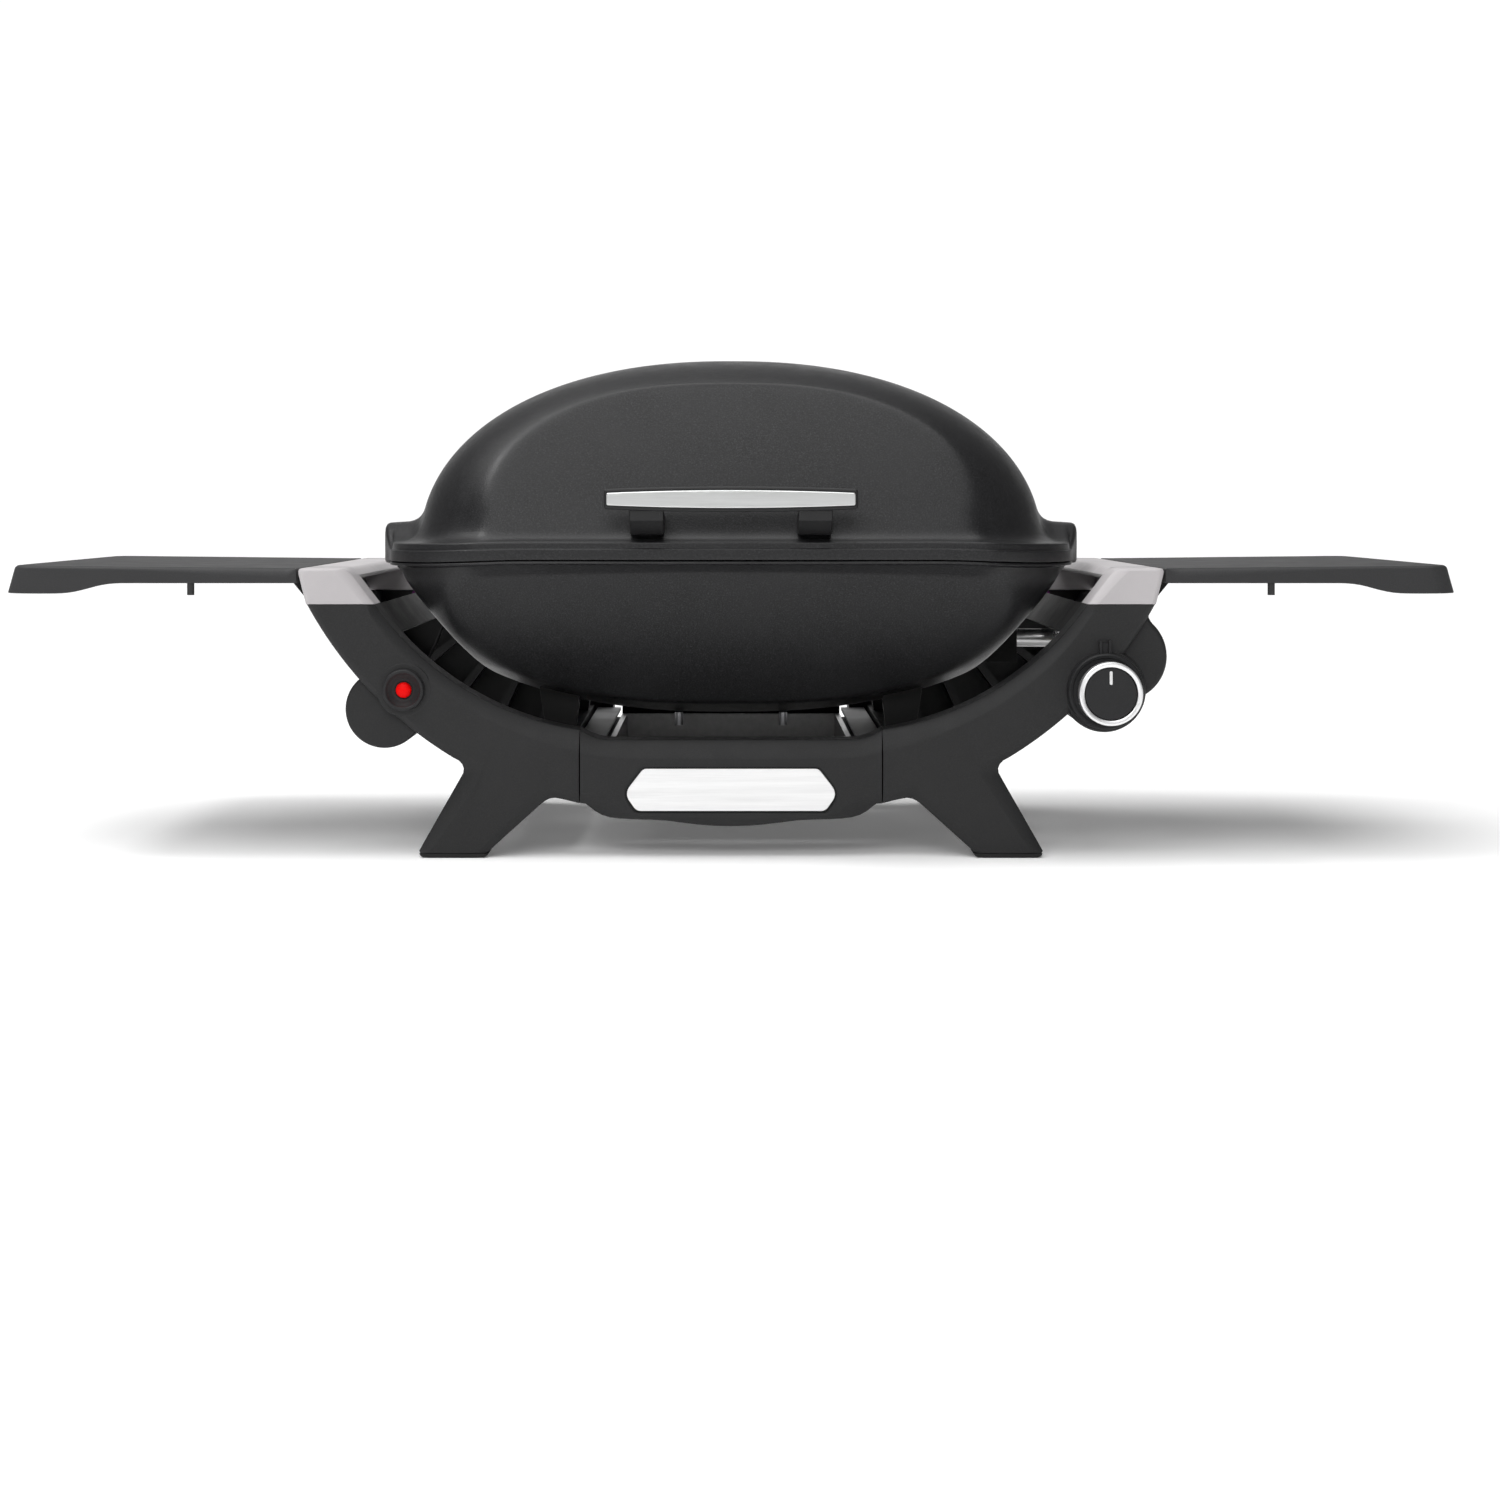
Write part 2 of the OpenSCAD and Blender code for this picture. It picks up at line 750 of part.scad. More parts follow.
module lid_shell() {
    rings = concat([for (e = dome_inside) dome_ring(e, cast)],
        [rim_ring(6 + cast, 0, lid_z), rim_ring(0, 7, lid_z), rim_ring(0, 7, 275),
            rim_ring(0, 5, 277), rim_ring(0, 1, 281)],
        [for (e = dome_rings) dome_ring(e, 0)]);
    color([0.13, 0.13, 0.14]) union() {
        ring_solid(rings, false);
        for (s = [0, 1]) {
            mirror([s, 0, 0]) translate([300, -42, lid_z]) cube([30, 84, 31]);
        }
    }
}

module lid_hinge_ears() {
    color([0.13, 0.13, 0.14]) for (sx = [-1, 1]) difference() {
        translate([sx * hinge_x - 12.5, 0, 0]) rotate([90, 0, 90]) linear_extrude(height = 25)
            union() {
                polygon([[218, 266], [231, 266], [hinge_y, hinge_z],
                    [hinge_y + 6, hinge_z + 5], [232, 280], [218, 284]]);
                circle_at(hinge_y, hinge_z, hinge_r);
            }
        bar_x(hinge_y, hinge_z, hinge_pin_r + fit, sx * hinge_x - 13, sx * hinge_x + 13);
    }
}

// Bowed outline of the handle, half length w and height h at the middle.
module bowed(w, h, end_h) {
    rise = (h - end_h) / 2;
    r = (w * w + rise * rise) / (2 * rise);
    sweep = asin(w / r);
    polygon(concat(arc([0, h / 2 - r], -r, sweep, -sweep, 20),
        arc([0, r - h / 2], r, sweep, -sweep, 20)));
}

module handle_grip() {
    color([0.08, 0.08, 0.08]) difference() {
        slab(-248, -236) translate([0, handle_z]) bowed(handle_half_w, 22, 17);
        slab(-249, -246.5) translate([0, handle_z]) bowed(handle_half_w - 2.3, 16, 11);
    }
}

module handle_strip() {
    color([0.85, 0.85, 0.86]) slab(-250, -246.5)
        translate([0, handle_z]) bowed(handle_half_w - 2.5, 15.6, 10.6);
}

module handle_brackets() {
    color([0.08, 0.08, 0.08]) for (s = [-1, 1]) translate([s * 74 - 15, 0, 0])
        rotate([90, 0, 90]) linear_extrude(height = 30)
            polygon([[-236, 309], [-236, 327], [-242, 327], [-242, 309], [-240, 302], [-222, 288],
                [-211, 287], [-205.5, 306], [-214, 307], [-228, 311]]);
}

module handle_screws() {
    color([0.6, 0.6, 0.62]) for (s = [-1, 1]) bar_y(s * 74, 297, 3, -216, -196);
}

// ---- Side tables ----

// Side profile of a table, outer skin.
module table_profile() {
    polygon([[388, 257], [644, 259.5], [table_end_x, 236], [648, 234.6], [606, 234.4],
        [590, 235.4], [576, 238.2], [560, 242.4], [545, 243.7], [388, 243.7]]);
}

module table_hollow() {
    polygon([[391.5, 253.5], [640.5, 255.8], [647, 233], [640, 225], [391.5, 225]]);
}

module table_body() {
    corner = 24;
    color([0.3, 0.3, 0.31]) difference() {
        intersection() {
            slab(-table_half_d, table_half_d) table_profile();
            translate([0, 0, 220]) linear_extrude(height = 50) union() {
                translate([380, -table_half_d]) square([table_end_x - 380 - corner, 2 * table_half_d]);
                translate([380, -table_half_d + corner])
                    square([table_end_x - 380, 2 * (table_half_d - corner)]);
                for (s = [-1, 1]) {
                    translate([table_end_x - corner, s * (table_half_d - corner)])
                        circle(r = corner);
                }
            }
        }
        intersection() {
            slab(-table_half_d + 3.5, table_half_d - 3.5) table_hollow();
            translate([0, 0, 220]) linear_extrude(height = 50) union() {
                translate([380, -table_half_d])
                    square([table_end_x - 380 - corner, 2 * table_half_d]);
                translate([380, -table_half_d + corner])
                    square([table_end_x - 380, 2 * (table_half_d - corner)]);
            }
        }
    }
}

module right_table() {
    table_body();
}

module left_table() {
    mirror([1, 0, 0]) table_body();
}

// Two hinge arms under the inner end of a table.
module table_arms_body() {
    color([0.16, 0.16, 0.17]) for (s = [-1, 1]) difference() {
        slab(s * arm_hinge_y - arm_hinge_w / 2, s * arm_hinge_y + arm_hinge_w / 2) union() {
            circle_at(fold_x, fold_z, 6);
            polygon([[fold_x, fold_z + 3], [fold_x, fold_z - 6], [383, 242], [381, 228.5],
                [385, 227], [398, 243], [430, 246], [430, 254.2], [392, 254], [386, fold_z + 3]]);
        }
        bar_y(fold_x, fold_z, fold_pin_r + fit, -200, 200);
    }
}

module right_table_arms() {
    table_arms_body();
}

module left_table_arms() {
    mirror([1, 0, 0]) table_arms_body();
}

module table_pins_body() {
    color([0.7, 0.7, 0.72]) for (s = [-1, 1]) {
        bar_y(fold_x, fold_z, fold_pin_r, s * arm_hinge_y - 12, s * arm_hinge_y + 12);
    }
}

module right_table_pins() {
    table_pins_body();
}

module left_table_pins() {
    mirror([1, 0, 0]) table_pins_body();
}

// Pegs that hang cooking tools under a table.
module hooks_body() {
    color([0.3, 0.3, 0.31]) for (y = [-192, 150]) {
        translate([483, y, 233]) cylinder(r = 3.2, h = 21);
    }
}

module tool_hooks_right() {
    hooks_body();
}

module tool_hooks_left() {
    mirror([1, 0, 0]) hooks_body();
}

left_end_frame();
right_end_frame();
front_panel();
rear_panel();
badge_plate();
left_cap();
right_cap();
left_side_panel();
right_side_panel();
foot_pads();
left_support_rail();
right_support_rail();
tray_rails();
frame_screws();
panel_clips();
cooking_box();
box_screws();
hinge_brackets();
hinge_pins();
left_grate();
right_grate();
burner();
burner_post();
burner_collar();
venturi_tube();
gas_line();
gas_valve();
gas_inlet();
electrode();
igniter_lead();
igniter_module();
igniter_bezel();
igniter_button();
knob_bezel();
stem_collar();
knob_body();
knob_ring();
knob_face();
valve_stem();
drip_pan_holder();
foil_tray();
lid_shell();
lid_hinge_ears();
handle_brackets();
handle_grip();
handle_strip();
handle_screws();
left_table();
right_table();
left_table_arms();
right_table_arms();
left_table_pins();
right_table_pins();
tool_hooks_left();
tool_hooks_right();
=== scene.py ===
"""Gas barbecue grill: the finished looks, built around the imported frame, in metres."""
import math
import bmesh
import bpy
import numpy as np
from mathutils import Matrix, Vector


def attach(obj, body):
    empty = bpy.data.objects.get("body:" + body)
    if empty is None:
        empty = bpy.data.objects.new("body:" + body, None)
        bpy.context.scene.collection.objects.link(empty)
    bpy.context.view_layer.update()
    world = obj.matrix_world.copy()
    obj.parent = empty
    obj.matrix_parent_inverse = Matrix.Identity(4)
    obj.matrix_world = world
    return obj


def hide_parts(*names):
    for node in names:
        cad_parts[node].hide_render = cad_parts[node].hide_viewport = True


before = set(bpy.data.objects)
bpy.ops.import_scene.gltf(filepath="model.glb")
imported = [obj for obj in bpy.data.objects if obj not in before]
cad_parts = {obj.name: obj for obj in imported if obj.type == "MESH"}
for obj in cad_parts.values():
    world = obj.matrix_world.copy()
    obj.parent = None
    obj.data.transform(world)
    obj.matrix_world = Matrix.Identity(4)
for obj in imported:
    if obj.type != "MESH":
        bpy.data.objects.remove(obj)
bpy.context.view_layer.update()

MM = 0.001
SIDES = {-1: "left", 1: "right"}


# ---------------------------------------------------------------- camera, floor, light

def add_camera():
    """Level camera at lid height, 2.4 m in front; the shift only places the object in the picture."""
    data = bpy.data.cameras.new("camera")
    data.lens = 59.7
    data.sensor_width = 36.0
    data.shift_x = 0.0127
    data.shift_y = -0.1667
    data.clip_end = 60.0
    cam = bpy.data.objects.new("camera", data)
    bpy.context.scene.collection.objects.link(cam)
    cam.location = (0.0, -2.416, 0.318)
    cam.rotation_euler = (math.radians(90.0), 0.0, 0.0)
    bpy.context.scene.camera = cam


def add_area(name, location, target, size, size_y, energy):
    data = bpy.data.lights.new(name, "AREA")
    data.shape = "RECTANGLE"
    data.size = size
    data.size_y = size_y
    data.energy = energy
    lamp = bpy.data.objects.new(name, data)
    bpy.context.scene.collection.objects.link(lamp)
    lamp.location = location
    aim = Vector(target) - Vector(location)
    lamp.rotation_euler = aim.to_track_quat("-Z", "Y").to_euler()


def maths(tree, operation, one, two):
    """A maths node on two sources or numbers."""
    made = tree.nodes.new("ShaderNodeMath")
    made.operation = operation
    for socket, value in zip(made.inputs, (one, two)):
        if isinstance(value, float):
            socket.default_value = value
        else:
            tree.links.new(value, socket)
    return made.outputs[0]


def add_world(scene):
    """White to the camera. As light it is dim, fuller in front and brightest low behind,
    which gives the casting its bright upper edge."""
    world = bpy.data.worlds.new("studio")
    scene.world = world
    world.use_nodes = True
    tree = world.node_tree
    background = tree.nodes["Background"]
    background.inputs["Color"].default_value = (1.0, 1.0, 1.0, 1.0)
    split = tree.nodes.new("ShaderNodeSeparateXYZ")
    tree.links.new(tree.nodes.new("ShaderNodeTexCoord").outputs["Generated"], split.inputs[0])
    level, shown = 0.08, 1.05
    for axis, sign, gain, power in (("Y", -1.0, 0.22, 1.0), ("Y", 1.0, 1.5, 14.0)):
        toward = maths(tree, "MAXIMUM", maths(tree, "MULTIPLY", split.outputs[axis], sign), 0.0)
        toward = maths(tree, "POWER", toward, power)
        level = maths(tree, "ADD", maths(tree, "MULTIPLY", toward, gain), level)
    paths = tree.nodes.new("ShaderNodeLightPath")
    seen = maths(tree, "MULTIPLY", paths.outputs["Is Camera Ray"], shown)
    hidden = maths(tree, "MULTIPLY", maths(tree, "SUBTRACT", 1.0, paths.outputs["Is Camera Ray"]), level)
    tree.links.new(maths(tree, "ADD", seen, hidden), background.inputs["Strength"])


def add_studio():
    """Plain white backdrop, a pale floor, an overcast sun and soft boxes."""
    scene = bpy.context.scene
    scene.view_settings.view_transform = "Standard"
    add_world(scene)
    mesh = bpy.data.meshes.new("floor")
    reach = 30.0
    mesh.from_pydata([(-reach, -reach, 0), (reach, -reach, 0), (reach, reach, 0), (-reach, reach, 0)],
                     [], [(0, 1, 2, 3)])
    floor = bpy.data.objects.new("floor", mesh)
    scene.collection.objects.link(floor)
    mat = bpy.data.materials.new("floor_pale")
    mat.use_nodes = True
    shader = mat.node_tree.nodes["Principled BSDF"]
    shader.inputs["Base Color"].default_value = (0.95, 0.95, 0.95, 1.0)
    shader.inputs["Emission Color"].default_value = (1.0, 1.0, 1.0, 1.0)
    shader.inputs["Emission Strength"].default_value = 0.12
    shader.inputs["Roughness"].default_value = 0.85
    shader.inputs["Specular IOR Level"].default_value = 0.1
    mesh.materials.append(mat)
    data = bpy.data.lights.new("overcast", "SUN")
    data.energy = 2.8
    data.angle = math.radians(75.0)
    sun = bpy.data.objects.new("overcast", data)
    scene.collection.objects.link(sun)
    sun.rotation_euler = Vector((0.22, 0.04, -1.0)).to_track_quat("-Z", "Y").to_euler()
    add_area("front_box", (-0.5, -2.7, 1.7), (0.0, 0.0, 0.3), 2.2, 0.9, 28.0)
    add_area("key_box", (-1.6, -0.2, 2.2), (0.0, 0.0, 0.35), 0.4, 0.4, 12.0)


# ---------------------------------------------------------------- materials

def new_material(name, metallic=0.0, specular=0.5, anisotropic=0.0):
    """A node material with its uniform values set; returns it, its tree, its shader and coordinates."""
    mat = bpy.data.materials.new(name)
    mat.use_nodes = True
    tree = mat.node_tree
    shader = tree.nodes["Principled BSDF"]
    shader.inputs["Metallic"].default_value = metallic
    shader.inputs["Specular IOR Level"].default_value = specular
    shader.inputs["Anisotropic"].default_value = anisotropic
    coords = tree.nodes.new("ShaderNodeTexCoord")
    return mat, tree, shader, coords


def noise(tree, coords, scale, detail, roughness=0.5, stretch=None):
    """Noise in object space; stretch scales the axes to draw it out into streaks."""
    tex = tree.nodes.new("ShaderNodeTexNoise")
    tex.inputs["Scale"].default_value = scale
    tex.inputs["Detail"].default_value = detail
    tex.inputs["Roughness"].default_value = roughness
    source = coords.outputs["Object"]
    if stretch:
        mapping = tree.nodes.new("ShaderNodeMapping")
        mapping.inputs["Scale"].default_value = stretch
        tree.links.new(source, mapping.inputs["Vector"])
        source = mapping.outputs["Vector"]
    tree.links.new(source, tex.inputs["Vector"])
    return tex.outputs["Fac"]


def ramp(tree, source, stops):
    """Colour ramp through (position, colour) stops; a grey is given as one number."""
    made = tree.nodes.new("ShaderNodeValToRGB")
    elements = made.color_ramp.elements
    while len(elements) < len(stops):
        elements.new(0.5)
    for element, (place, colour) in zip(elements, stops):
        element.position = place
        if not isinstance(colour, tuple):
            colour = (colour, colour, colour)
        element.color = (*colour, 1.0)
    tree.links.new(source, made.inputs["Fac"])
    return made.outputs["Color"]


def span(tree, source, low, high):
    """Maps a 0 to 1 source onto low to high."""
    made = tree.nodes.new("ShaderNodeMapRange")
    made.inputs["From Min"].default_value = 0.3
    made.inputs["From Max"].default_value = 0.7
    made.inputs["To Min"].default_value = low
    made.inputs["To Max"].default_value = high
    tree.links.new(source, made.inputs["Value"])
    return made.outputs["Result"]


def bump(tree, source, depth, strength, below=None):
    """Bump node; depth is the height of the relief in metres."""
    made = tree.nodes.new("ShaderNodeBump")
    made.inputs["Strength"].default_value = strength
    made.inputs["Distance"].default_value = depth
    tree.links.new(source, made.inputs["Height"])
    if below is not None:
        tree.links.new(below, made.inputs["Normal"])
    return made.outputs["Normal"]


def mix(tree, factor, one, two):
    """Blend of two colours or colour sources by a factor source."""
    made = tree.nodes.new("ShaderNodeMix")
    made.data_type = "RGBA"
    tree.links.new(factor, made.inputs[0])
    for index, value in ((6, one), (7, two)):
        if isinstance(value, tuple):
            made.inputs[index].default_value = (*value, 1.0)
        else:
            tree.links.new(value, made.inputs[index])
    return made.outputs[2]


def dust_mask(tree, coords):
    """Faint dust: strong on faces that look up, broken up by noise."""
    geometry = tree.nodes.new("ShaderNodeNewGeometry")
    split = tree.nodes.new("ShaderNodeSeparateXYZ")
    tree.links.new(geometry.outputs["Normal"], split.inputs[0])
    patches = noise(tree, coords, 9.0, 5.0, 0.65)
    product = maths(tree, "MULTIPLY", split.outputs["Z"], patches)
    product.node.use_clamp = True
    return product


def textured_paint(name, dark, light, rough, grain_size, grain_depth, specular, dust, dust_colour,
                   painted_glint=1.5):
    """Grained paint or moulded plastic: speckled colour whose brightest specks are painted glint, grain
    relief, uneven gloss and faint dust.
    """
    mat, tree, shader, coords = new_material(name, specular=specular)
    fine = noise(tree, coords, 1.0 / grain_size, 3.0, 0.6)
    broad = noise(tree, coords, 14.0, 4.0, 0.6)
    # The top stop is painted glint: specks brighter than the paint colour that stand in for sparkle of
    # light.
    speckle = ramp(tree, fine, [(0.32, dark), (0.55, light), (0.74, tuple(painted_glint * c for c in light))])
    shade = ramp(tree, broad, [(0.3, tuple(0.9 * c for c in light)), (0.7, tuple(1.08 * c for c in light))])
    colour = mix(tree, broad, speckle, shade)
    colour = mix(tree, maths(tree, "MULTIPLY", dust_mask(tree, coords), dust), colour, dust_colour)
    tree.links.new(colour, shader.inputs["Base Color"])
    tree.links.new(span(tree, noise(tree, coords, 40.0, 4.0, 0.6), rough - 0.04, rough + 0.05),
                   shader.inputs["Roughness"])
    wave = bump(tree, noise(tree, coords, 18.0, 2.0), 0.0004, 0.35)
    tree.links.new(bump(tree, fine, grain_depth, 0.6, wave), shader.inputs["Normal"])
    return mat


def brushed_metal(name, colour, rough, stretch, metallic=1.0):
    """Brushed metal: fine streaks across the strongly stretched axis, in colour, gloss and relief."""
    mat, tree, shader, coords = new_material(name, metallic=metallic, anisotropic=0.5)
    streak = noise(tree, coords, 900.0, 3.0, 0.7, stretch)
    long_streak = noise(tree, coords, 160.0, 3.0, 0.6, stretch)
    cloud = noise(tree, coords, 11.0, 3.0)
    base = ramp(tree, streak, [(0.3, tuple(0.86 * c for c in colour)), (0.7, colour)])
    soft = ramp(tree, long_streak, [(0.3, tuple(0.8 * c for c in colour)), (0.7, colour)])
    tree.links.new(mix(tree, cloud, base, soft), shader.inputs["Base Color"])
    tree.links.new(span(tree, streak, rough - 0.05, rough + 0.08), shader.inputs["Roughness"])
    tree.links.new(bump(tree, streak, 0.00005, 0.5), shader.inputs["Normal"])
    return mat


def plain_metal(name, colour, rough, spots=0.06):
    """Drawn or plated metal with slight clouding and fine scratches."""
    mat, tree, shader, coords = new_material(name, metallic=1.0)
    cloud = noise(tree, coords, 30.0, 5.0, 0.6)
    scratch = noise(tree, coords, 350.0, 4.0, 0.7, (1.0, 0.06, 1.0))
    base = ramp(tree, cloud, [(0.3, tuple((1 - spots) * c for c in colour)), (0.7, colour)])
    tree.links.new(base, shader.inputs["Base Color"])
    tree.links.new(span(tree, cloud, rough - 0.04, rough + 0.06), shader.inputs["Roughness"])
    tree.links.new(bump(tree, scratch, 0.00004, 0.35), shader.inputs["Normal"])
    return mat


def foil_material():
    """Pressed aluminium foil with crinkles, its colour held well below bare aluminium as painted shade."""
    mat, tree, shader, coords = new_material("foil_painted_shade", metallic=1.0)
    crease = tree.nodes.new("ShaderNodeTexVoronoi")
    crease.feature = "F1"
    crease.inputs["Scale"].default_value = 38.0
    tree.links.new(coords.outputs["Object"], crease.inputs["Vector"])
    fine = noise(tree, coords, 140.0, 4.0, 0.6)
    # Greys far below bare aluminium: painted shade for the tray lying in shadow under the bowl.
    base = ramp(tree, fine, [(0.3, 0.38), (0.7, 0.48)])
    tree.links.new(base, shader.inputs["Base Color"])
    tree.links.new(span(tree, fine, 0.3, 0.45), shader.inputs["Roughness"])
    below = bump(tree, fine, 0.0003, 0.3)
    tree.links.new(bump(tree, crease.outputs["Distance"], 0.0005, 0.3, below), shader.inputs["Normal"])
    return mat


def glossy_plastic(name, colour, rough, specular=0.5):
    """Smooth moulded plastic with faint orange peel and handling marks."""
    mat, tree, shader, coords = new_material(name, specular=specular)
    cloud = noise(tree, coords, 60.0, 4.0, 0.6)
    base = ramp(tree, cloud, [(0.3, tuple(0.88 * c for c in colour)), (0.7, colour)])
    tree.links.new(base, shader.inputs["Base Color"])
    tree.links.new(span(tree, cloud, rough - 0.04, rough + 0.06), shader.inputs["Roughness"])
    tree.links.new(bump(tree, noise(tree, coords, 420.0, 2.0), 0.00005, 0.4), shader.inputs["Normal"])
    return mat


MATERIALS = {
    "cast": textured_paint("cast_enamel", (0.003, 0.003, 0.003), (0.015, 0.015, 0.016), 0.38,
                           0.0014, 0.00035, 0.30, 0.02, (0.10, 0.10, 0.10), 3.0),
    "frame": textured_paint("frame_grain", (0.012, 0.012, 0.0125), (0.018, 0.018, 0.0185), 0.52,
                            0.0009, 0.00012, 0.26, 0.03, (0.12, 0.12, 0.12)),
    "table": textured_paint("table_grain", (0.022, 0.022, 0.023), (0.031, 0.031, 0.032), 0.56,
                            0.0010, 0.00012, 0.28, 0.06, (0.15, 0.15, 0.15)),
    "cap": textured_paint("cap_silver", (0.44, 0.42, 0.428), (0.46, 0.44, 0.448), 0.45,
                          0.0006, 0.00003, 0.25, 0.02, (0.6, 0.6, 0.6), 1.05),
    "black": textured_paint("inner_black", (0.004, 0.004, 0.004), (0.007, 0.007, 0.007), 0.55,
                            0.0010, 0.00012, 0.2, 0.02, (0.05, 0.05, 0.05)),
    "rubber": textured_paint("foot_rubber", (0.010, 0.010, 0.010), (0.016, 0.016, 0.016), 0.7,
                             0.0008, 0.00010, 0.25, 0.04, (0.1, 0.1, 0.1)),
    "grip": textured_paint("handle_nylon", (0.007, 0.007, 0.0075), (0.011, 0.011, 0.0115), 0.42,
                           0.0008, 0.00008, 0.3, 0.02, (0.1, 0.1, 0.1)),
    "grate": textured_paint("grate_enamel", (0.006, 0.006, 0.006), (0.012, 0.012, 0.012), 0.3,
                            0.0020, 0.00020, 0.5, 0.05, (0.1, 0.1, 0.1)),
    "strip": brushed_metal("brushed_strip", (0.76, 0.77, 0.765), 0.36, (0.03, 1.0, 1.0)),
    "badge": brushed_metal("brushed_badge", (0.96, 0.96, 0.96), 0.42, (0.03, 1.0, 1.0), metallic=0.55),
    "ring": plain_metal("satin_chrome", (0.84, 0.84, 0.845), 0.36),
    "steel": plain_metal("stainless_tube", (0.80, 0.80, 0.80), 0.3),
    "zinc": plain_metal("zinc_steel", (0.55, 0.55, 0.57), 0.35, 0.15),
    "brass": plain_metal("valve_brass", (0.62, 0.52, 0.32), 0.3, 0.12),
    "rail": plain_metal("rail_steel", (0.24, 0.24, 0.245), 0.5, 0.12),
    "foil": foil_material(),
    "red": glossy_plastic("button_red", (0.80, 0.0, 0.0), 0.5, 0.12),
    "clip": glossy_plastic("clip_violet", (0.10, 0.004, 0.10), 0.4),
    "ceramic": glossy_plastic("ceramic_glaze", (0.80, 0.78, 0.72), 0.25),
    "mark": glossy_plastic("mark_white", (0.75, 0.75, 0.75), 0.4),
    "control": textured_paint("control_grain", (0.012, 0.012, 0.0125), (0.017, 0.017, 0.018), 0.5,
                              0.0008, 0.00008, 0.25, 0.02, (0.1, 0.1, 0.1)),
}


# ---------------------------------------------------------------- mesh building

def mesh_of(name, bm):
    """Closes a bmesh into a mesh, in metres, with its normals facing out."""
    bmesh.ops.remove_doubles(bm, verts=bm.verts, dist=0.01)
    bmesh.ops.recalc_face_normals(bm, faces=bm.faces)
    bmesh.ops.scale(bm, vec=(MM, MM, MM), verts=bm.verts)
    mesh = bpy.data.meshes.new(name)
    bm.to_mesh(mesh)
    bm.free()
    return mesh


def piece(name, bm, material, body, replaces=(), angle=35.0):
    """Puts a finished shape in the scene, riding on a body and standing for its CAD nodes."""
    mesh = mesh_of(name, bm)
    mesh.materials.append(MATERIALS[material])
    mesh.shade_smooth()
    mesh.set_sharp_from_angle(angle=math.radians(angle))
    obj = bpy.data.objects.new(name, mesh)
    bpy.context.scene.collection.objects.link(obj)
    normals = obj.modifiers.new("normals", "WEIGHTED_NORMAL")
    normals.keep_sharp = True
    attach(obj, body)
    if replaces:
        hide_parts(*replaces)
    return obj


def add_rings(bm, rings, start_cap=True, end_cap=True):
    """Skins a list of rings, each a list of points in mm with the same count."""
    rows = [[bm.verts.new(p) for p in ring] for ring in rings]
    count = len(rows[0])
    for one, two in zip(rows, rows[1:]):
        for i in range(count):
            j = (i + 1) % count
            bm.faces.new((one[i], one[j], two[j], two[i]))
    if start_cap:
        bm.faces.new(rows[0])
    if end_cap:
        bm.faces.new(rows[-1])
    return rows


def mirror_x(bm):
    bmesh.ops.scale(bm, vec=(-1, 1, 1), verts=bm.verts)


def add_copy(bm, other, flip=False):
    """Adds another bmesh, mirrored front to back if asked."""
    keep = {}
    for v in other.verts:
        keep[v] = bm.verts.new((v.co.x, -v.co.y if flip else v.co.y, v.co.z))
    for f in other.faces:
        bm.faces.new([keep[v] for v in f.verts])


def smooth(x):
    """Soft step from 0 to 1."""
    x = np.clip(x, 0.0, 1.0)
    return x * x * (3 - 2 * x)


def arc(cx, cz, r, a0, a1, n=24):
    """Points on a circle in the XZ plane; angles in degrees from straight down towards +X."""
    return [(cx + r * math.sin(math.radians(a)), cz - r * math.cos(math.radians(a)))
            for a in np.linspace(a0, a1, n + 1)]


def inset(points, amounts):
    """Moves each point of a closed outline inwards by its own amount."""
    pts = np.array(points, float)
    ahead = np.roll(pts, -1, 0) - pts
    behind = pts - np.roll(pts, 1, 0)
    ahead /= np.maximum(np.linalg.norm(ahead, axis=1), 1e-9)[:, None]
    behind /= np.maximum(np.linalg.norm(behind, axis=1), 1e-9)[:, None]
    area = 0.5 * np.sum(pts[:, 0] * np.roll(pts[:, 1], -1) - np.roll(pts[:, 0], -1) * pts[:, 1])
    side = 1.0 if area > 0 else -1.0
    n1 = side * np.stack([-ahead[:, 1], ahead[:, 0]], 1)
    n2 = side * np.stack([-behind[:, 1], behind[:, 0]], 1)
    mean = n1 + n2
    mean /= np.maximum(np.linalg.norm(mean, axis=1), 1e-9)[:, None]
    lean = np.clip(np.sum(mean * n1, axis=1), 0.5, 1.0)
    return pts + mean * (np.asarray(amounts, float) / lean)[:, None]


def round_corners(points, radius, steps=5):
    """Rounds the corners of an outline; radius is one number or one for each corner."""
    out = []
    count = len(points)
    radii = radius if isinstance(radius, (list, tuple)) else [radius] * count
    for i in range(count):
        p = np.array(points[i], float)
        a = np.array(points[i - 1], float) - p
        b = np.array(points[(i + 1) % count], float) - p
        la, lb = np.linalg.norm(a), np.linalg.norm(b)
        a, b = a / la, b / lb
        half = math.acos(max(-1.0, min(1.0, float(a @ b)))) / 2
        cut = radii[i] / max(math.tan(half), 1e-6)
        cut = min(cut, 0.45 * la, 0.45 * lb)
        if radii[i] <= 0 or cut < 0.05 or half > 1.55:
            out.append(tuple(p))
            continue
        start, end = p + a * cut, p + b * cut
        for k in range(steps + 1):
            t = k / steps
            out.append(tuple((1 - t) ** 2 * start + 2 * t * (1 - t) * p + t * t * end))
    return out


def lathe_y(bm, cx, cz, profile, segments=64, wave=0.0, waves=0):
    """Turns (radius, y) points about an axis along Y; wave adds finger flutes to the radius."""
    rings = []
    for r, y in profile:
        ring = []
        for i in range(segments):
            a = 2 * math.pi * i / segments
            rr = r + wave * math.cos(waves * a) * (r > 5)
            ring.append((cx + rr * math.cos(a), y, cz + rr * math.sin(a)))
        rings.append(ring)
    add_rings(bm, rings)


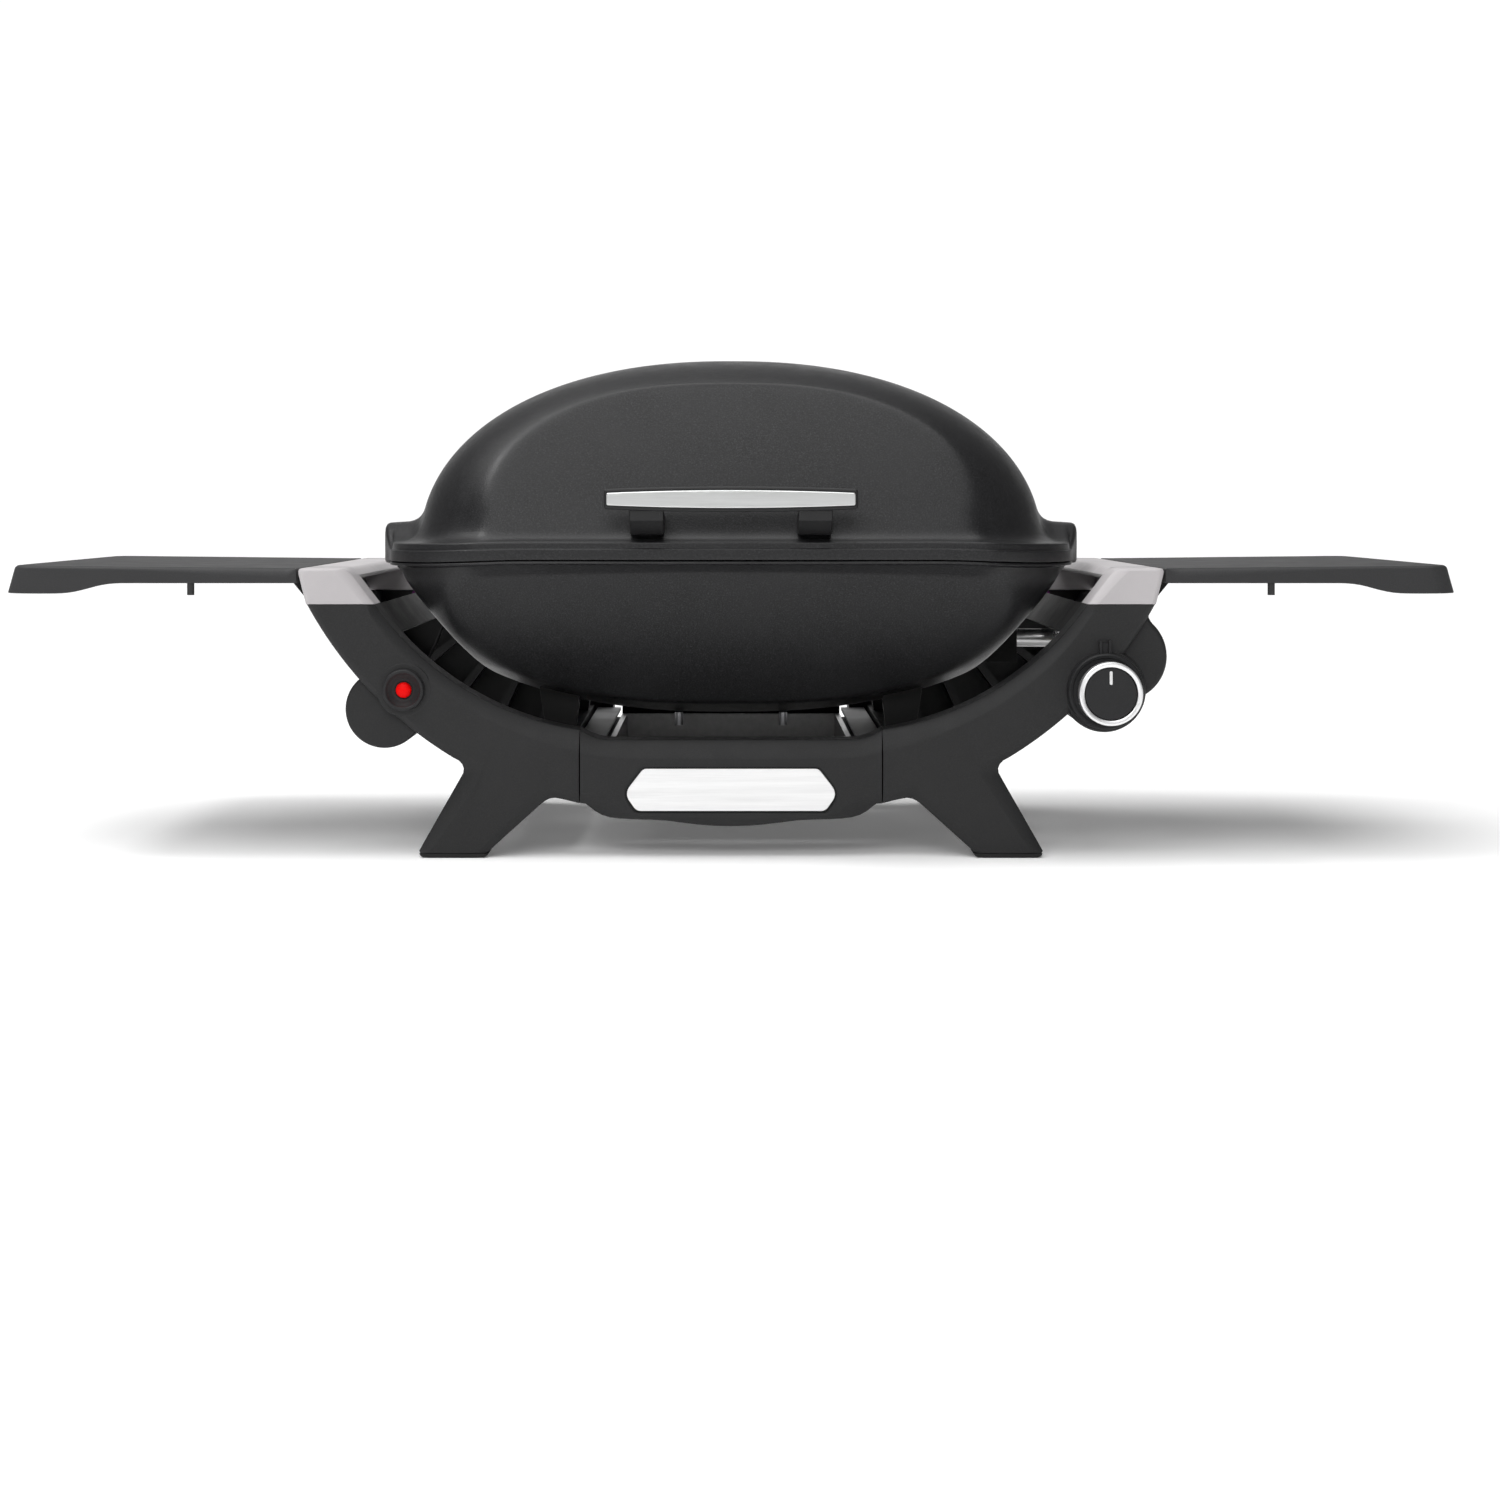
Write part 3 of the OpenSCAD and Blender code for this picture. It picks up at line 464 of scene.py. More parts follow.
def box_rounded(bm, lo, hi, r):
    """A block with rounded edges, between two corners in mm."""
    made = bmesh.ops.create_cube(bm, size=1.0)
    verts = made["verts"]
    for v in verts:
        v.co = Vector([lo[k] + (v.co[k] + 0.5) * (hi[k] - lo[k]) for k in range(3)])
    edges = list({e for v in verts for e in v.link_edges})
    bmesh.ops.bevel(bm, geom=edges, offset=r, segments=2, affect="EDGES", profile=0.5)


add_camera()
add_studio()

# ---------------------------------------------------------------- moulded outlines

def chamfer(power, steps=8):
    """(inset share, depth share) from the face to the side wall; power 1 is flat, 2 is round."""
    out = []
    for k in range(steps + 1):
        a = math.radians(90.0 * (1 - k / steps))
        out.append((1 - max(math.cos(a), 0.0) ** (2 / power), 1 - max(math.sin(a), 0.0) ** (2 / power)))
    return out


def fill_flat(bm, ring, holes, depth):
    """Closes a flat ring; each hole outline becomes a pocket going depth mm along Y."""
    if not holes:
        bm.faces.new(ring)
        return
    y = ring[0].co.y
    count = len(ring)
    edges = [bm.edges.get((ring[i], ring[(i + 1) % count])) for i in range(count)]
    for hole in holes:
        top = [bm.verts.new((p[0], y, p[1])) for p in hole]
        low = [bm.verts.new((p[0], y + depth, p[1])) for p in hole]
        size = len(hole)
        edges += [bm.edges.new((top[i], top[(i + 1) % size])) for i in range(size)]
        for i in range(size):
            j = (i + 1) % size
            bm.faces.new((top[i], top[j], low[j], low[i]))
        bm.faces.new(low)
    bmesh.ops.triangle_fill(bm, use_beauty=True, edges=edges)


def moulding(bm, outer, inner, depth, y_front, y_back, power=1.3, back_round=0.0,
             front_holes=(), front_depth=0.0, back_holes=(), back_depth=0.0):
    """A moulding seen from the front: a face inside the inner outline, a shaped flank out to the
    outer outline, side walls and a back. Both outlines have the same number of (x, z) points."""
    outer = np.array(outer, float)
    inner = np.array(inner, float)
    depth = np.broadcast_to(np.asarray(depth, float), (len(outer),))
    sign = 1.0 if y_back > y_front else -1.0
    rings = []
    for share, drop in chamfer(power):
        pts = outer + (inner - outer) * share
        rings.append([(p[0], y_front + sign * d * drop, p[1]) for p, d in zip(pts, depth)])
    if back_round > 0:
        rings.append([(p[0], y_back - sign * back_round, p[1]) for p in outer])
        for share, drop in ((0.3, 0.3), (1.0, 0.0)):
            pts = inset(outer, np.full(len(outer), back_round * share))
            rings.append([(p[0], y_back - sign * back_round * drop, p[1]) for p in pts])
    else:
        rings.append([(p[0], y_back, p[1]) for p in outer])
    rows = add_rings(bm, rings, start_cap=False, end_cap=False)
    fill_flat(bm, rows[0], front_holes, sign * front_depth)
    fill_flat(bm, rows[-1], back_holes, -sign * back_depth)


def rounded_slab(bm, outline, y_front, y_back, edge, power, back_round=0.0, **holes):
    """A slab whose front edge is rounded by the same amount all round."""
    outline = np.array(outline, float)
    moulding(bm, outline, inset(outline, np.full(len(outline), edge)), edge, y_front, y_back,
             power, back_round, **holes)


def sweep_y(bm, outline, y0, y1):
    """An outline in the XZ plane drawn along Y."""
    add_rings(bm, [[(p[0], y, p[1]) for p in outline] for y in (y0, y1)])


# ---------------------------------------------------------------- lid and cooking box

CAST = 4.0                      # wall of the castings
RIM_Z = 264.4                   # top of the cooking box
DOME_Z = 270.0                  # plane the dome is measured from
DOME = (296.0, 241.0, 182.0)    # half width, half depth and height of the dome
DOME_FACE = (214.0, 330.0)      # where its flatter front and back would meet the ground and the top
BOWL = (318.0, 258.0, 150.0)    # half width, half depth and depth of the bowl
BOWL_SIDE = (312.0, 386.0)      # the same for the bowl's flatter ends
BOWL_FACE = (222.0, 305.0)      # and for its front and back
TURNS = 384
CREASE = 160.0                  # sharpness of the edges where these shapes cross
RIDGE, RIDGE_WIDTH = 0.7, 1.3   # fine ridge along the edge of the dome's face
TOP_ANGLE = 89.2


def crossed(*sizes):
    """Radius of the shape common to several, with a narrow fillet where two of them cross."""
    most = np.maximum.reduce(sizes)
    return sum((size / most) ** CREASE for size in sizes) ** (-1 / CREASE) / most


def dome_radius(x, y, z, t):
    """Distance from the dome's centre to its skin in a unit direction, t mm in from the outside."""
    m = 3.1 - 0.6 * z
    plan = ((abs(x) / (DOME[0] - t)) ** m + (abs(y) / (DOME[1] - t)) ** m) ** (2.2 / m)
    body = (plan + (z / (DOME[2] - t)) ** 2.2) ** (1 / 2.2)
    face = ((abs(y) / (DOME_FACE[0] - t)) ** 1.2 + (z / (DOME_FACE[1] - t)) ** 1.2) ** (1 / 1.2)
    ridge = RIDGE * np.exp(-((1 / face - 1 / body) / RIDGE_WIDTH) ** 2) * (t == 0) * smooth(z * 2 - 0.5)
    return crossed(body, face) + ridge


def bowl_radius(x, y, d, t):
    """The same for the bowl, downwards."""
    plan = ((abs(x) / (BOWL[0] - t)) ** 3 + (abs(y) / (BOWL[1] - t)) ** 3) ** 0.7
    body = (plan + (d / (BOWL[2] - t)) ** 2.1) ** (1 / 2.1)
    side = abs(x) / (BOWL_SIDE[0] - t) + d / (BOWL_SIDE[1] - t)
    face = abs(y) / (BOWL_FACE[0] - t) + d / (BOWL_FACE[1] - t)
    return crossed(body, side, face)


AROUND = 2 * np.pi * np.arange(TURNS) / TURNS


def shell_ring(radius, e, t, base, up):
    """Ring of a shell at an angle e above or below its rim plane."""
    e = np.radians(np.broadcast_to(e, AROUND.shape))
    x, y = np.cos(AROUND) * np.cos(e), np.sin(AROUND) * np.cos(e)
    r = radius(x, y, np.sin(e), t)
    return np.stack([r * x, r * y, base + up * r * np.sin(e)], 1)


def rim_ring(t, out, z):
    """Plan ring of the box rim, moved out and set at a height."""
    x, y = np.cos(AROUND), np.sin(AROUND)
    r = bowl_radius(x, y, 0.0, t) + out
    return np.stack([r * x, r * y, np.full(TURNS, z)], 1)


# Section of the lid's end lugs, as the distance out from the rim and the height.
EAR = [(14.6, 261.2), (17.0, 261.8), (18.4, 264.0), (18.6, 280.0), (18.5, 290.0), (18.0, 294.0),
       (16.6, 296.6), (14.2, 297.8), (11.0, 298.1), (8.0, 298.2), (6.0, 298.3), (4.5, 298.4),
       (3.2, 298.5), (2.2, 298.6)]


def droop(points):
    """The joint between lid and box dips slightly towards both ends."""
    x, z = np.abs(points[:, 0]), points[:, 2]
    fade = smooth(1 - np.abs(z - RIM_Z) / 60)
    return points - np.stack([0 * x, 0 * x, 3.4 * smooth((x - 180) / 120) * fade], 1)


def build_lid():
    """Inner skin, lip with the two end lugs, a fillet up to the wall, then the outer skin."""
    bm = bmesh.new()
    rings = [shell_ring(dome_radius, e, CAST, DOME_Z, 1) for e in np.linspace(TOP_ANGLE, 3, 44)]
    rings += [rim_ring(6 + CAST, 0, 268.0), rim_ring(6 + CAST, 0.4, 265.6), rim_ring(6 + CAST, 1.2, 265.0)]
    lip = [(5.4, 265.0), (6.5, 265.4), (7.0, 266.6), (7.0, 273.6), (6.9, 274.4), (6.5, 274.9),
           (5.6, 275.2), (4.9, 275.4), (4.6, 275.9), (4.5, 279.2), (4.3, 280.2), (3.7, 280.9),
           (2.6, 281.3), (0.8, 281.8)]
    ear = smooth((104 - np.abs(rim_ring(0, 7, 0)[:, 1])) / 70)[:, None]
    for (out, z), (ear_out, ear_z) in zip(lip, EAR):
        rings.append((1 - ear) * rim_ring(0, out, z) + ear * rim_ring(0, ear_out, ear_z))
    low = 7.0 + 3.4 * ear[:, 0]
    foot, knee = rings[-1], shell_ring(dome_radius, low, 0, DOME_Z, 1)
    rise = knee - shell_ring(dome_radius, low + 2.0, 0, DOME_Z, 1)
    rise /= np.linalg.norm(rise, axis=1)[:, None]
    reach = np.linalg.norm(knee - foot, axis=1)[:, None] * 0.5
    flat = foot * (1, 1, 0)
    flat /= np.linalg.norm(flat, axis=1)[:, None]
    for k in range(1, 8):
        s = k / 8
        rings.append((1 - s) ** 3 * foot + 3 * s * (1 - s) ** 2 * (foot - flat * reach)
                     + 3 * s * s * (1 - s) * (knee + rise * reach) + s ** 3 * knee)
    rings += [shell_ring(dome_radius, low + (TOP_ANGLE - low) * s, 0, DOME_Z, 1)
              for s in np.linspace(0, 1, 170)]
    add_rings(bm, [[tuple(p) for p in droop(ring)] for ring in rings])
    piece("lid_shell_cast", bm, "cast", "lid", ("lid_shell",), 40)


def build_box():
    """Bowl with its rim, and twelve pads under the rim where it is bolted and hinged."""
    bm = bmesh.new()
    rings = [shell_ring(bowl_radius, e, 0, RIM_Z, -1) for e in np.linspace(85, 2.4, 110)]
    lip = [(0.2, 259.6), (0.8, 260.5), (2.4, 261.1), (5.6, 261.4), (6.6, 261.8), (6.8, 262.5),
           (6.3, 263.7), (5.0, 264.4)]
    rings += [rim_ring(0, out, z) for out, z in lip]
    rings += [rim_ring(CAST, 0.8, RIM_Z), rim_ring(CAST, 0.2, RIM_Z - 0.3), rim_ring(CAST, 0, RIM_Z - 1.0)]
    rings += [shell_ring(bowl_radius, e, CAST, RIM_Z, -1) for e in np.linspace(2.4, 85, 60)]
    rings.append(rings[0])
    add_rings(bm, [[tuple(p) for p in droop(ring)] for ring in rings], start_cap=False, end_cap=False)
    pads = ((273, 288, 52, 68), (62, 78, 184, 198.5), (172, 188, 184, 198.5))
    for sx in (-1, 1):
        for sy in (-1, 1):
            for x0, x1, y0, y1 in pads:
                xs, ys = sorted((sx * x0, sx * x1)), sorted((sy * y0, sy * y1))
                box_rounded(bm, (xs[0], ys[0], 236.5), (xs[1], ys[1], 246), 1.2)
    piece("box_cast", bm, "cast", "frame", ("cooking_box",), 40)


# ---------------------------------------------------------------- frame

SEAM_X = 135.0                          # joint between end frame and panel
FRONT = -203.0                          # front face of the arms
BACK = -165.0                           # their rear edge
IN_C, IN_R = (97.0, 380.0), 270.0       # circle of the arm's inner edge
OUT_C, OUT_R = (63.0, 395.0), 358.0     # circle of its outer edge
CAP_Z = 225.0                           # joint between arm and cap
RIGHT_DISC = (350.0, 178.0, 40.0)       # centre and radius of the side panels
LEFT_DISC = (310.0, 131.0, 35.0)
KNOB = (333.0, 148.0)
BUTTON = (-291.0, 149.0)


def arm_outlines():
    """Outer and inner outline of the right arm with its leg, and the flank depth at each point."""
    a0 = math.degrees(math.asin((SEAM_X - IN_C[0]) / IN_R))
    a1 = math.degrees(math.acos((IN_C[1] - CAP_Z) / IN_R))
    steps = np.linspace(0, 1, 41)
    width = np.interp(steps, [0, 0.15, 0.32, 0.73, 0.9, 1], [20.5, 17.0, 14.4, 12.0, 9.5, 7.5])
    width = np.convolve(np.pad(width, 4, mode="edge"), np.ones(9) / 9, "valid")
    outer, inner, depth = [], [], []
    for s, w in zip(steps, width):
        a = math.radians(a0 + (a1 - a0) * s)
        outer.append((IN_C[0] + IN_R * math.sin(a), IN_C[1] - IN_R * math.cos(a)))
        inner.append((IN_C[0] + (IN_R + w) * math.sin(a), IN_C[1] - (IN_R + w) * math.cos(a)))
        depth.append(9.0 - 2.0 * s)
    outer[0], inner[0] = (SEAM_X, outer[0][1]), (SEAM_X + 0.4, inner[0][1] + 0.4)
    outer[-1], inner[-1] = (outer[-1][0], CAP_Z), (inner[-1][0], CAP_Z - 0.4)
    b0 = math.acos((OUT_C[1] - CAP_Z) / OUT_R)
    b1 = math.acos((OUT_C[1] - 88) / OUT_R)
    for s in np.linspace(0, 1, 31):
        a = b0 + (b1 - b0) * s
        r = OUT_R - 6.0
        outer.append((OUT_C[0] + OUT_R * math.sin(a), OUT_C[1] - OUT_R * math.cos(a)))
        inner.append((OUT_C[0] + r * math.sin(a), OUT_C[1] - r * math.cos(a)))
        depth.append(4.5)
    inner[41] = (inner[41][0], CAP_Z - 0.4)
    leg = [((242.8, 85.7), (238, 92.2), 4.8), ((239.8, 82.4), (230.5, 89), 5.4),
           ((238.4, 78.6), (223.5, 83.5), 6.0), ((238.9, 74.6), (220.5, 78), 6.4),
           ((241.4, 70.0), (222, 72.5), 6.6), ((250.4, 54), (233, 54.5), 6.4),
           ((259.5, 38), (244.6, 36.5), 6.0), ((268.5, 22), (256, 20), 5.6),
           ((275.8, 9), (265.5, 7.6), 5.0), ((277.2, 6), (267, 5.6), 3.0), ((275.4, 3.9), (265, 4.6), 1.5),
           ((246, 3.6), (246, 4.4), 1.0), ((219, 3.9), (227, 4.6), 1.5), ((216, 5.2), (225.5, 6), 3.0),
           ((205, 15), (215, 15.5), 5.0), ((190, 28.4), (200, 31), 5.4), ((176, 41), (187.5, 44.5), 5.6),
           ((169.5, 46.8), (181, 52.5), 5.7), ((165.5, 49.8), (174.5, 57.6), 5.8),
           ((161.5, 51.8), (168.5, 60.2), 5.8), ((157, 52.4), (161.5, 61.4), 5.8),
           ((150, 51.2), (152, 60.8), 5.8), ((SEAM_X, 47.6), (SEAM_X + 0.4, 58.0), 5.8)]
    for one, two, drop in leg:
        outer.append(one)
        inner.append(two)
        depth.append(drop)
    return outer, inner, depth


def arm_pockets():
    """Outlines of the five hollows behind an arm's skin."""
    start = math.degrees(math.asin((SEAM_X + 16 - IN_C[0]) / IN_R))
    stop = math.degrees(math.acos((IN_C[1] - CAP_Z) / IN_R)) - 5
    step = (stop - start) / 5
    wall, rib, shift = 4.0, 0.7, 3.6
    return [arc(*IN_C, IN_R + wall, start + step * i + rib, start + step * (i + 1) - rib, 8)
            + arc(*OUT_C, OUT_R - wall, start + step * (i + 1) - rib + shift,
                  start + step * i + rib + shift, 8) for i in range(5)]


def one_arm():
    """Front right arm; its leg leans forward on the way down."""
    bm = bmesh.new()
    outer, inner, depth = arm_outlines()
    moulding(bm, outer, inner, depth, FRONT, BACK, 1.35, back_holes=arm_pockets(), back_depth=32.0)
    lean, knee = 5.0, 60.0
    for v in bm.verts:
        if v.co.z < knee:
            v.co.y -= lean * (knee - v.co.z) / knee
    return bm


def disc(centre_and_r, less, angles):
    """Points around a side panel, some mm inside its edge."""
    cx, cz, r = centre_and_r
    return [(cx + (r - less) * math.cos(a), cz + (r - less) * math.sin(a)) for a in np.radians(angles)]


def build_end_frame(side):
    """Front and rear arm, two cross rails, and the side panel behind the knob or the button."""
    bm = bmesh.new()
    arm = one_arm()
    add_copy(bm, arm)
    add_copy(bm, arm, flip=True)
    arm.free()
    sweep_y(bm, round_corners([(196, 62), (228, 62), (232, 74), (196, 78)], 2.5), -166, 166)
    sweep_y(bm, round_corners([(348, 196), (358, 196), (373, 224), (363, 224)], 2.0), -166, 166)
    wall = 4.0
    if side > 0:
        edge = disc(RIGHT_DISC, 0.0, np.linspace(-200, 47, 50))
        edge += [(375.6, 209.5), (374.0, 212.4), (373.4, 216), (374.4, 219.6), (362, 221), (340, 214)]
        rounded_slab(bm, edge, FRONT + 9, FRONT + 80, 4.0, 1.8, 1.0,
                     back_holes=[disc(RIGHT_DISC, wall, np.arange(0, 360, 10))], back_depth=64.0)
        lathe_y(bm, *KNOB, [(0.2, FRONT - 0.2), (35.2, FRONT - 0.2), (36, FRONT + 0.6),
                            (36.6, FRONT + 3), (37.2, FRONT + 6), (37.2, FRONT + 12), (36, FRONT + 14),
                            (36, FRONT + 79), (35, FRONT + 80), (32, FRONT + 80), (32, FRONT + 6),
                            (0.2, FRONT + 6)], 72)
    else:
        rounded_slab(bm, disc(LEFT_DISC, 0.0, np.arange(0, 360, 5)), FRONT + 11, FRONT + 70, 2.5, 2.0, 1.0,
                     back_holes=[disc(LEFT_DISC, wall, np.arange(0, 360, 10))], back_depth=54.0)
        lathe_y(bm, -BUTTON[0], BUTTON[1], [(0.2, FRONT - 0.4), (22.6, FRONT - 0.4), (23.6, FRONT),
                                            (24.3, FRONT + 0.9), (24.3, FRONT + 5), (0.2, FRONT + 5)], 64)
        mirror_x(bm)
    name = SIDES[side]
    piece(name + "_end_frame_moulding", bm, "frame", "frame", (name + "_end_frame",), 28)


def mirrored(points):
    """Completes a right half, listed from the middle, into a closed outline."""
    return points + [(-x, z) for x, z in points[::-1] if abs(x) > 0.01]


def badge_outline(grow):
    """Outline of the blank badge, made larger by a few mm for the pocket it sits in."""
    half = [(-84 - grow, 41.5 - grow), (84 + grow, 41.5 - grow), (95 + 1.1 * grow, 57),
            (78 + 0.6 * grow, 79 + grow), (-78 - 0.6 * grow, 79 + grow), (-95 - 1.1 * grow, 57)]
    return round_corners(half, [8, 8, 14, 7, 7, 14], 8)


def build_front_panel():
    """Centre panel: outlines listed from the lower middle to the upper middle, right half."""
    half = [((0, 27.3), (0, 35.2), 5.0), ((15, 27.7), (15, 35.2), 5.0), ((30, 28.9), (30, 35.4), 4.6),
            ((45, 30.8), (45, 35.8), 4.0), ((58, 32.6), (58, 36.4), 3.6), ((72, 33.3), (72, 37.0), 3.6),
            ((88, 33.6), (86, 38.2), 4.4), ((99, 34.0), (93, 40.4), 6.5), ((108, 34.8), (99, 44.4), 8.5),
            ((115, 36.8), (105, 48.6), 9.0), ((121, 40.2), (111.5, 52.4), 8.6),
            ((126, 44.4), (119, 55.4), 7.4), ((129.6, 47.2), (127, 57.2), 6.2),
            ((SEAM_X - 0.5, 47.6), (SEAM_X - 0.9, 58.0), 5.8),
            ((SEAM_X - 0.5, 112.6), (SEAM_X - 0.9, 92.2), 9.0), ((132.4, 111.4), (131, 91.2), 9.0),
            ((126, 108.2), (122, 89.6), 9.0), ((118, 105.4), (110, 88.2), 9.0),
            ((110, 104.1), (98, 87.4), 9.0), ((84, 104), (74, 86.9), 9.0), ((45, 104), (40, 86.7), 9.0),
            ((0, 104), (0, 86.7), 9.0)]
    outer = mirrored([h[0] for h in half])
    inner = mirrored([h[1] for h in half])
    drops = [h[2] for h in half]
    drops += [h[2] for h in half[::-1] if abs(h[0][0]) > 0.01]
    hollow = [(-118, 46), (118, 46), (128, 53), (128, 103), (112, 98), (-112, 98), (-128, 103), (-128, 53)]
    bm = bmesh.new()
    moulding(bm, outer, inner, drops, FRONT - 2, BACK, 1.35, front_holes=[badge_outline(1.9)],
             front_depth=2.4, back_holes=[hollow], back_depth=30.0)
    piece("front_panel_moulding", bm, "frame", "frame", ("front_panel",), 28)
    bm = bmesh.new()
    rounded_slab(bm, badge_outline(0.0), FRONT - 2.2, FRONT + 0.2, 0.5, 2.0)
    piece("badge_plate_brushed", bm, "badge", "frame", ("badge_plate",),
          30)


def build_feet():
    """Four rubber pads under the legs, rounded towards the ground."""
    bm = bmesh.new()
    for sx in (-1, 1):
        for sy in (-1, 1):
            rows = []
            for grow, z in ((-6.0, 0.0), (-3.4, 0.3), (-1.6, 1.1), (-0.4, 2.4), (0.0, 3.8)):
                pts = round_corners([(216 - grow, -208 - 0.3 * grow), (277 + grow, -208 - 0.3 * grow),
                                     (277 + grow, -166), (216 - grow, -166)], 4)
                rows.append([(sx * x, -sy * y, z) for x, y in pts])
            add_rings(bm, rows)
    piece("foot_pads_rubber", bm, "rubber", "frame", ("foot_pads",),
          40)


def build_cap(side):
    """Metal-look cap: front and rear leg pieces joined by the hollow hand rail."""
    bm = bmesh.new()
    corners = [((378.7, 225), (374.4, 225.3)), ((382.6, 240.5), (378.2, 240.5)),
               ((385.4, 251.6), (380.6, 250.4)), ((385.6, 254.6), (380.4, 252.6)),
               ((384.4, 256.6), (379.4, 254.2)), ((382.0, 257.2), (377.4, 254.6)),
               ((365, 257.2), (364, 254.9)), ((348.6, 257.2), (356.0, 254.6)),
               ((345.0, 256.6), (353.6, 253.4)), ((342.0, 254.6), (351.6, 251.6)),
               ((337.4, 250.2), (347.6, 247.6)), ((328.2, 237.9), (337.8, 237.2)),
               ((318.3, 225), (327.6, 225.3))]
    outer, inner = [c[0] for c in corners], [c[1] for c in corners]
    drops = [3.6, 3.6, 3.6, 3.4, 3.2, 3.0, 3.0, 4.5, 6.0, 7.0, 7.6, 7.6, 7.2]
    part = bmesh.new()
    moulding(part, outer, inner, drops, FRONT, BACK + 8, 1.5, 1.0)
    add_copy(bm, part)
    add_copy(bm, part, flip=True)
    part.free()
    rail = [(374.4, 226.0), (377.6, 226.0), (382.6, 240.5), (385.4, 251.6), (385.6, 254.6), (384.4, 256.6),
            (382.0, 257.2), (348.6, 257.2), (345.0, 256.6), (342.0, 254.6), (337.2, 250.2), (337.6, 248.6),
            (340.6, 246.3), (342.0, 246.8), (347.6, 252.2), (350, 253.2), (378.5, 253.2), (381.0, 252.4),
            (381.8, 250)]
    sweep_y(bm, rail, BACK, -BACK)
    hinge_plate = round_corners([(374, 244), (380, 246.5), (380, 254), (368, 254), (368, 250)], 1.0, 3)
    for y in (-141.0, 141.0):
        sweep_y(bm, hinge_plate, y - 2.5, y + 2.5)
    if side < 0:
        mirror_x(bm)
    name = SIDES[side]
    piece(name + "_cap_moulding", bm, "cap", "frame", (name + "_cap",),
          32)


# ---------------------------------------------------------------- side tables

TABLE_START, TABLE_END, TABLE_HALF_D = 388.0, 651.0, 197.0


def table_bottom(x):
    """Height of the skirt's lower edge along the table."""
    return np.interp(x, [388, 545, 553, 560, 568, 576, 583, 590, 598, 606, 620, 651],
                     [243.7, 243.7, 243.3, 242.4, 240.6, 238.4, 236.6, 235.3, 234.6, 234.4, 234.4, 234.6])


def table_top(x):
    """Height of the top, which rises slightly outwards."""
    return 257.0 + 2.5 * (x - TABLE_START) / 256


def build_table(side):
    """Hollow moulded table with rounded outer corners and stiffening ribs underneath."""
    corner = 24.0
    outline = [(TABLE_START, -TABLE_HALF_D)]
    outline += [(x, -TABLE_HALF_D) for x in np.linspace(396, TABLE_END - corner, 40)]
    outline += arc(TABLE_END - corner, corner - TABLE_HALF_D, corner, 8, 90, 11)
    outline += [(TABLE_END, y) for y in np.linspace(-160, 0, 9)]
    outline += [(x, -y) for x, y in outline[::-1][1:]]
    pts = np.array(outline, float)
    x = pts[:, 0]
    swoosh = smooth((560 - x) / 172)
    inner_end = x < TABLE_START + 1
    width = np.where(inner_end, 1.5, 3.6 + 3.0 * swoosh)
    drop = np.where(inner_end, 1.5, 3.0 + 6.0 * swoosh)
    bottom = table_bottom(x)
    top = table_top(x)

    def lean(points, z):
        """The outer end slopes outwards on its way down."""
        share = smooth((points[:, 0] - 596) / 50)
        return np.stack([points[:, 0] - 7.0 * share * (z - 234.6) / 25, points[:, 1], z], 1)

    rings = []
    for share, fall in chamfer(1.9, 8):
        z = top - drop * fall
        rings.append(lean(inset(pts, width * share), z))
    for grow, z in ((0.0, bottom + 0.8), (0.5, bottom), (2.6, bottom), (3.1, bottom + 0.8)):
        rings.append(lean(inset(pts, np.full(len(pts), grow)), z))
    rings.append(lean(inset(pts, np.full(len(pts), 3.5)), top - 3.6))
    bm = bmesh.new()
    add_rings(bm, [[tuple(p) for p in ring] for ring in rings])
    for y in (-96, -32, 32, 96):
        box_rounded(bm, (392, y - 0.9, 247.4), (640, y + 0.9, 254.5), 0.3)
    for rib_x in (452, 520, 588):
        box_rounded(bm, (rib_x - 0.9, -193, 247.4), (rib_x + 0.9, 193, 254.6), 0.3)
    if side < 0:
        mirror_x(bm)
    name = SIDES[side]
    piece(name + "_table_moulding", bm, "table", name + "_table",
          (name + "_table",), 30)


# ---------------------------------------------------------------- handle

HANDLE_Z = 318.7


def bow(half_w, mid_h, end_h, corner):
    """Outline of the bowed handle."""
    xs = np.linspace(-half_w, half_w, 41)
    rise = (mid_h - end_h) / 2
    top = [(x, HANDLE_Z + end_h / 2 + rise * (1 - (x / half_w) ** 2)) for x in xs]
    low = [(x, 2 * HANDLE_Z - z) for x, z in top[::-1]]
    ends = {0, 40, 41, 81}
    return round_corners(low + top, [corner if i in ends else 0 for i in range(82)], 5)


def build_handle():
    """Bowed grip, bright strip set in its front, and two posts that run into the lid.
    The posts are drawn from the side and then turned across."""
    bm = bmesh.new()
    rounded_slab(bm, bow(111, 22.4, 17.4, 3.4), -248.2, -235.8, 2.2, 2.0, 1.8)
    piece("handle_grip_moulding", bm, "grip", "lid", ("handle_grip",),
          30)
    bm = bmesh.new()
    rounded_slab(bm, bow(108.6, 15.6, 10.8, 2.0), -250.0, -246.8, 0.9, 1.8)
    piece("handle_strip_brushed", bm, "strip", "lid", ("handle_strip",),
          30)
    post = round_corners([(-242, 327), (-235.8, 327), (-235.6, 312), (-228, 310.4), (-214, 306.6),
                          (-196.5, 305.5), (-203.8, 286.6), (-222, 287.4), (-239, 300), (-242, 308)], 2.4)
    spread, post_w = 74.0, 30.0
    bm = bmesh.new()
    for x in (-spread, spread):
        rounded_slab(bm, post, x - post_w / 2, x + post_w / 2, 1.6, 2.0, 1.6)
    for vert in bm.verts:
        vert.co = (vert.co.y, vert.co.x, vert.co.z)
    piece("handle_brackets_moulding", bm, "grip", "lid",
          ("handle_brackets",), 30)


# ---------------------------------------------------------------- controls

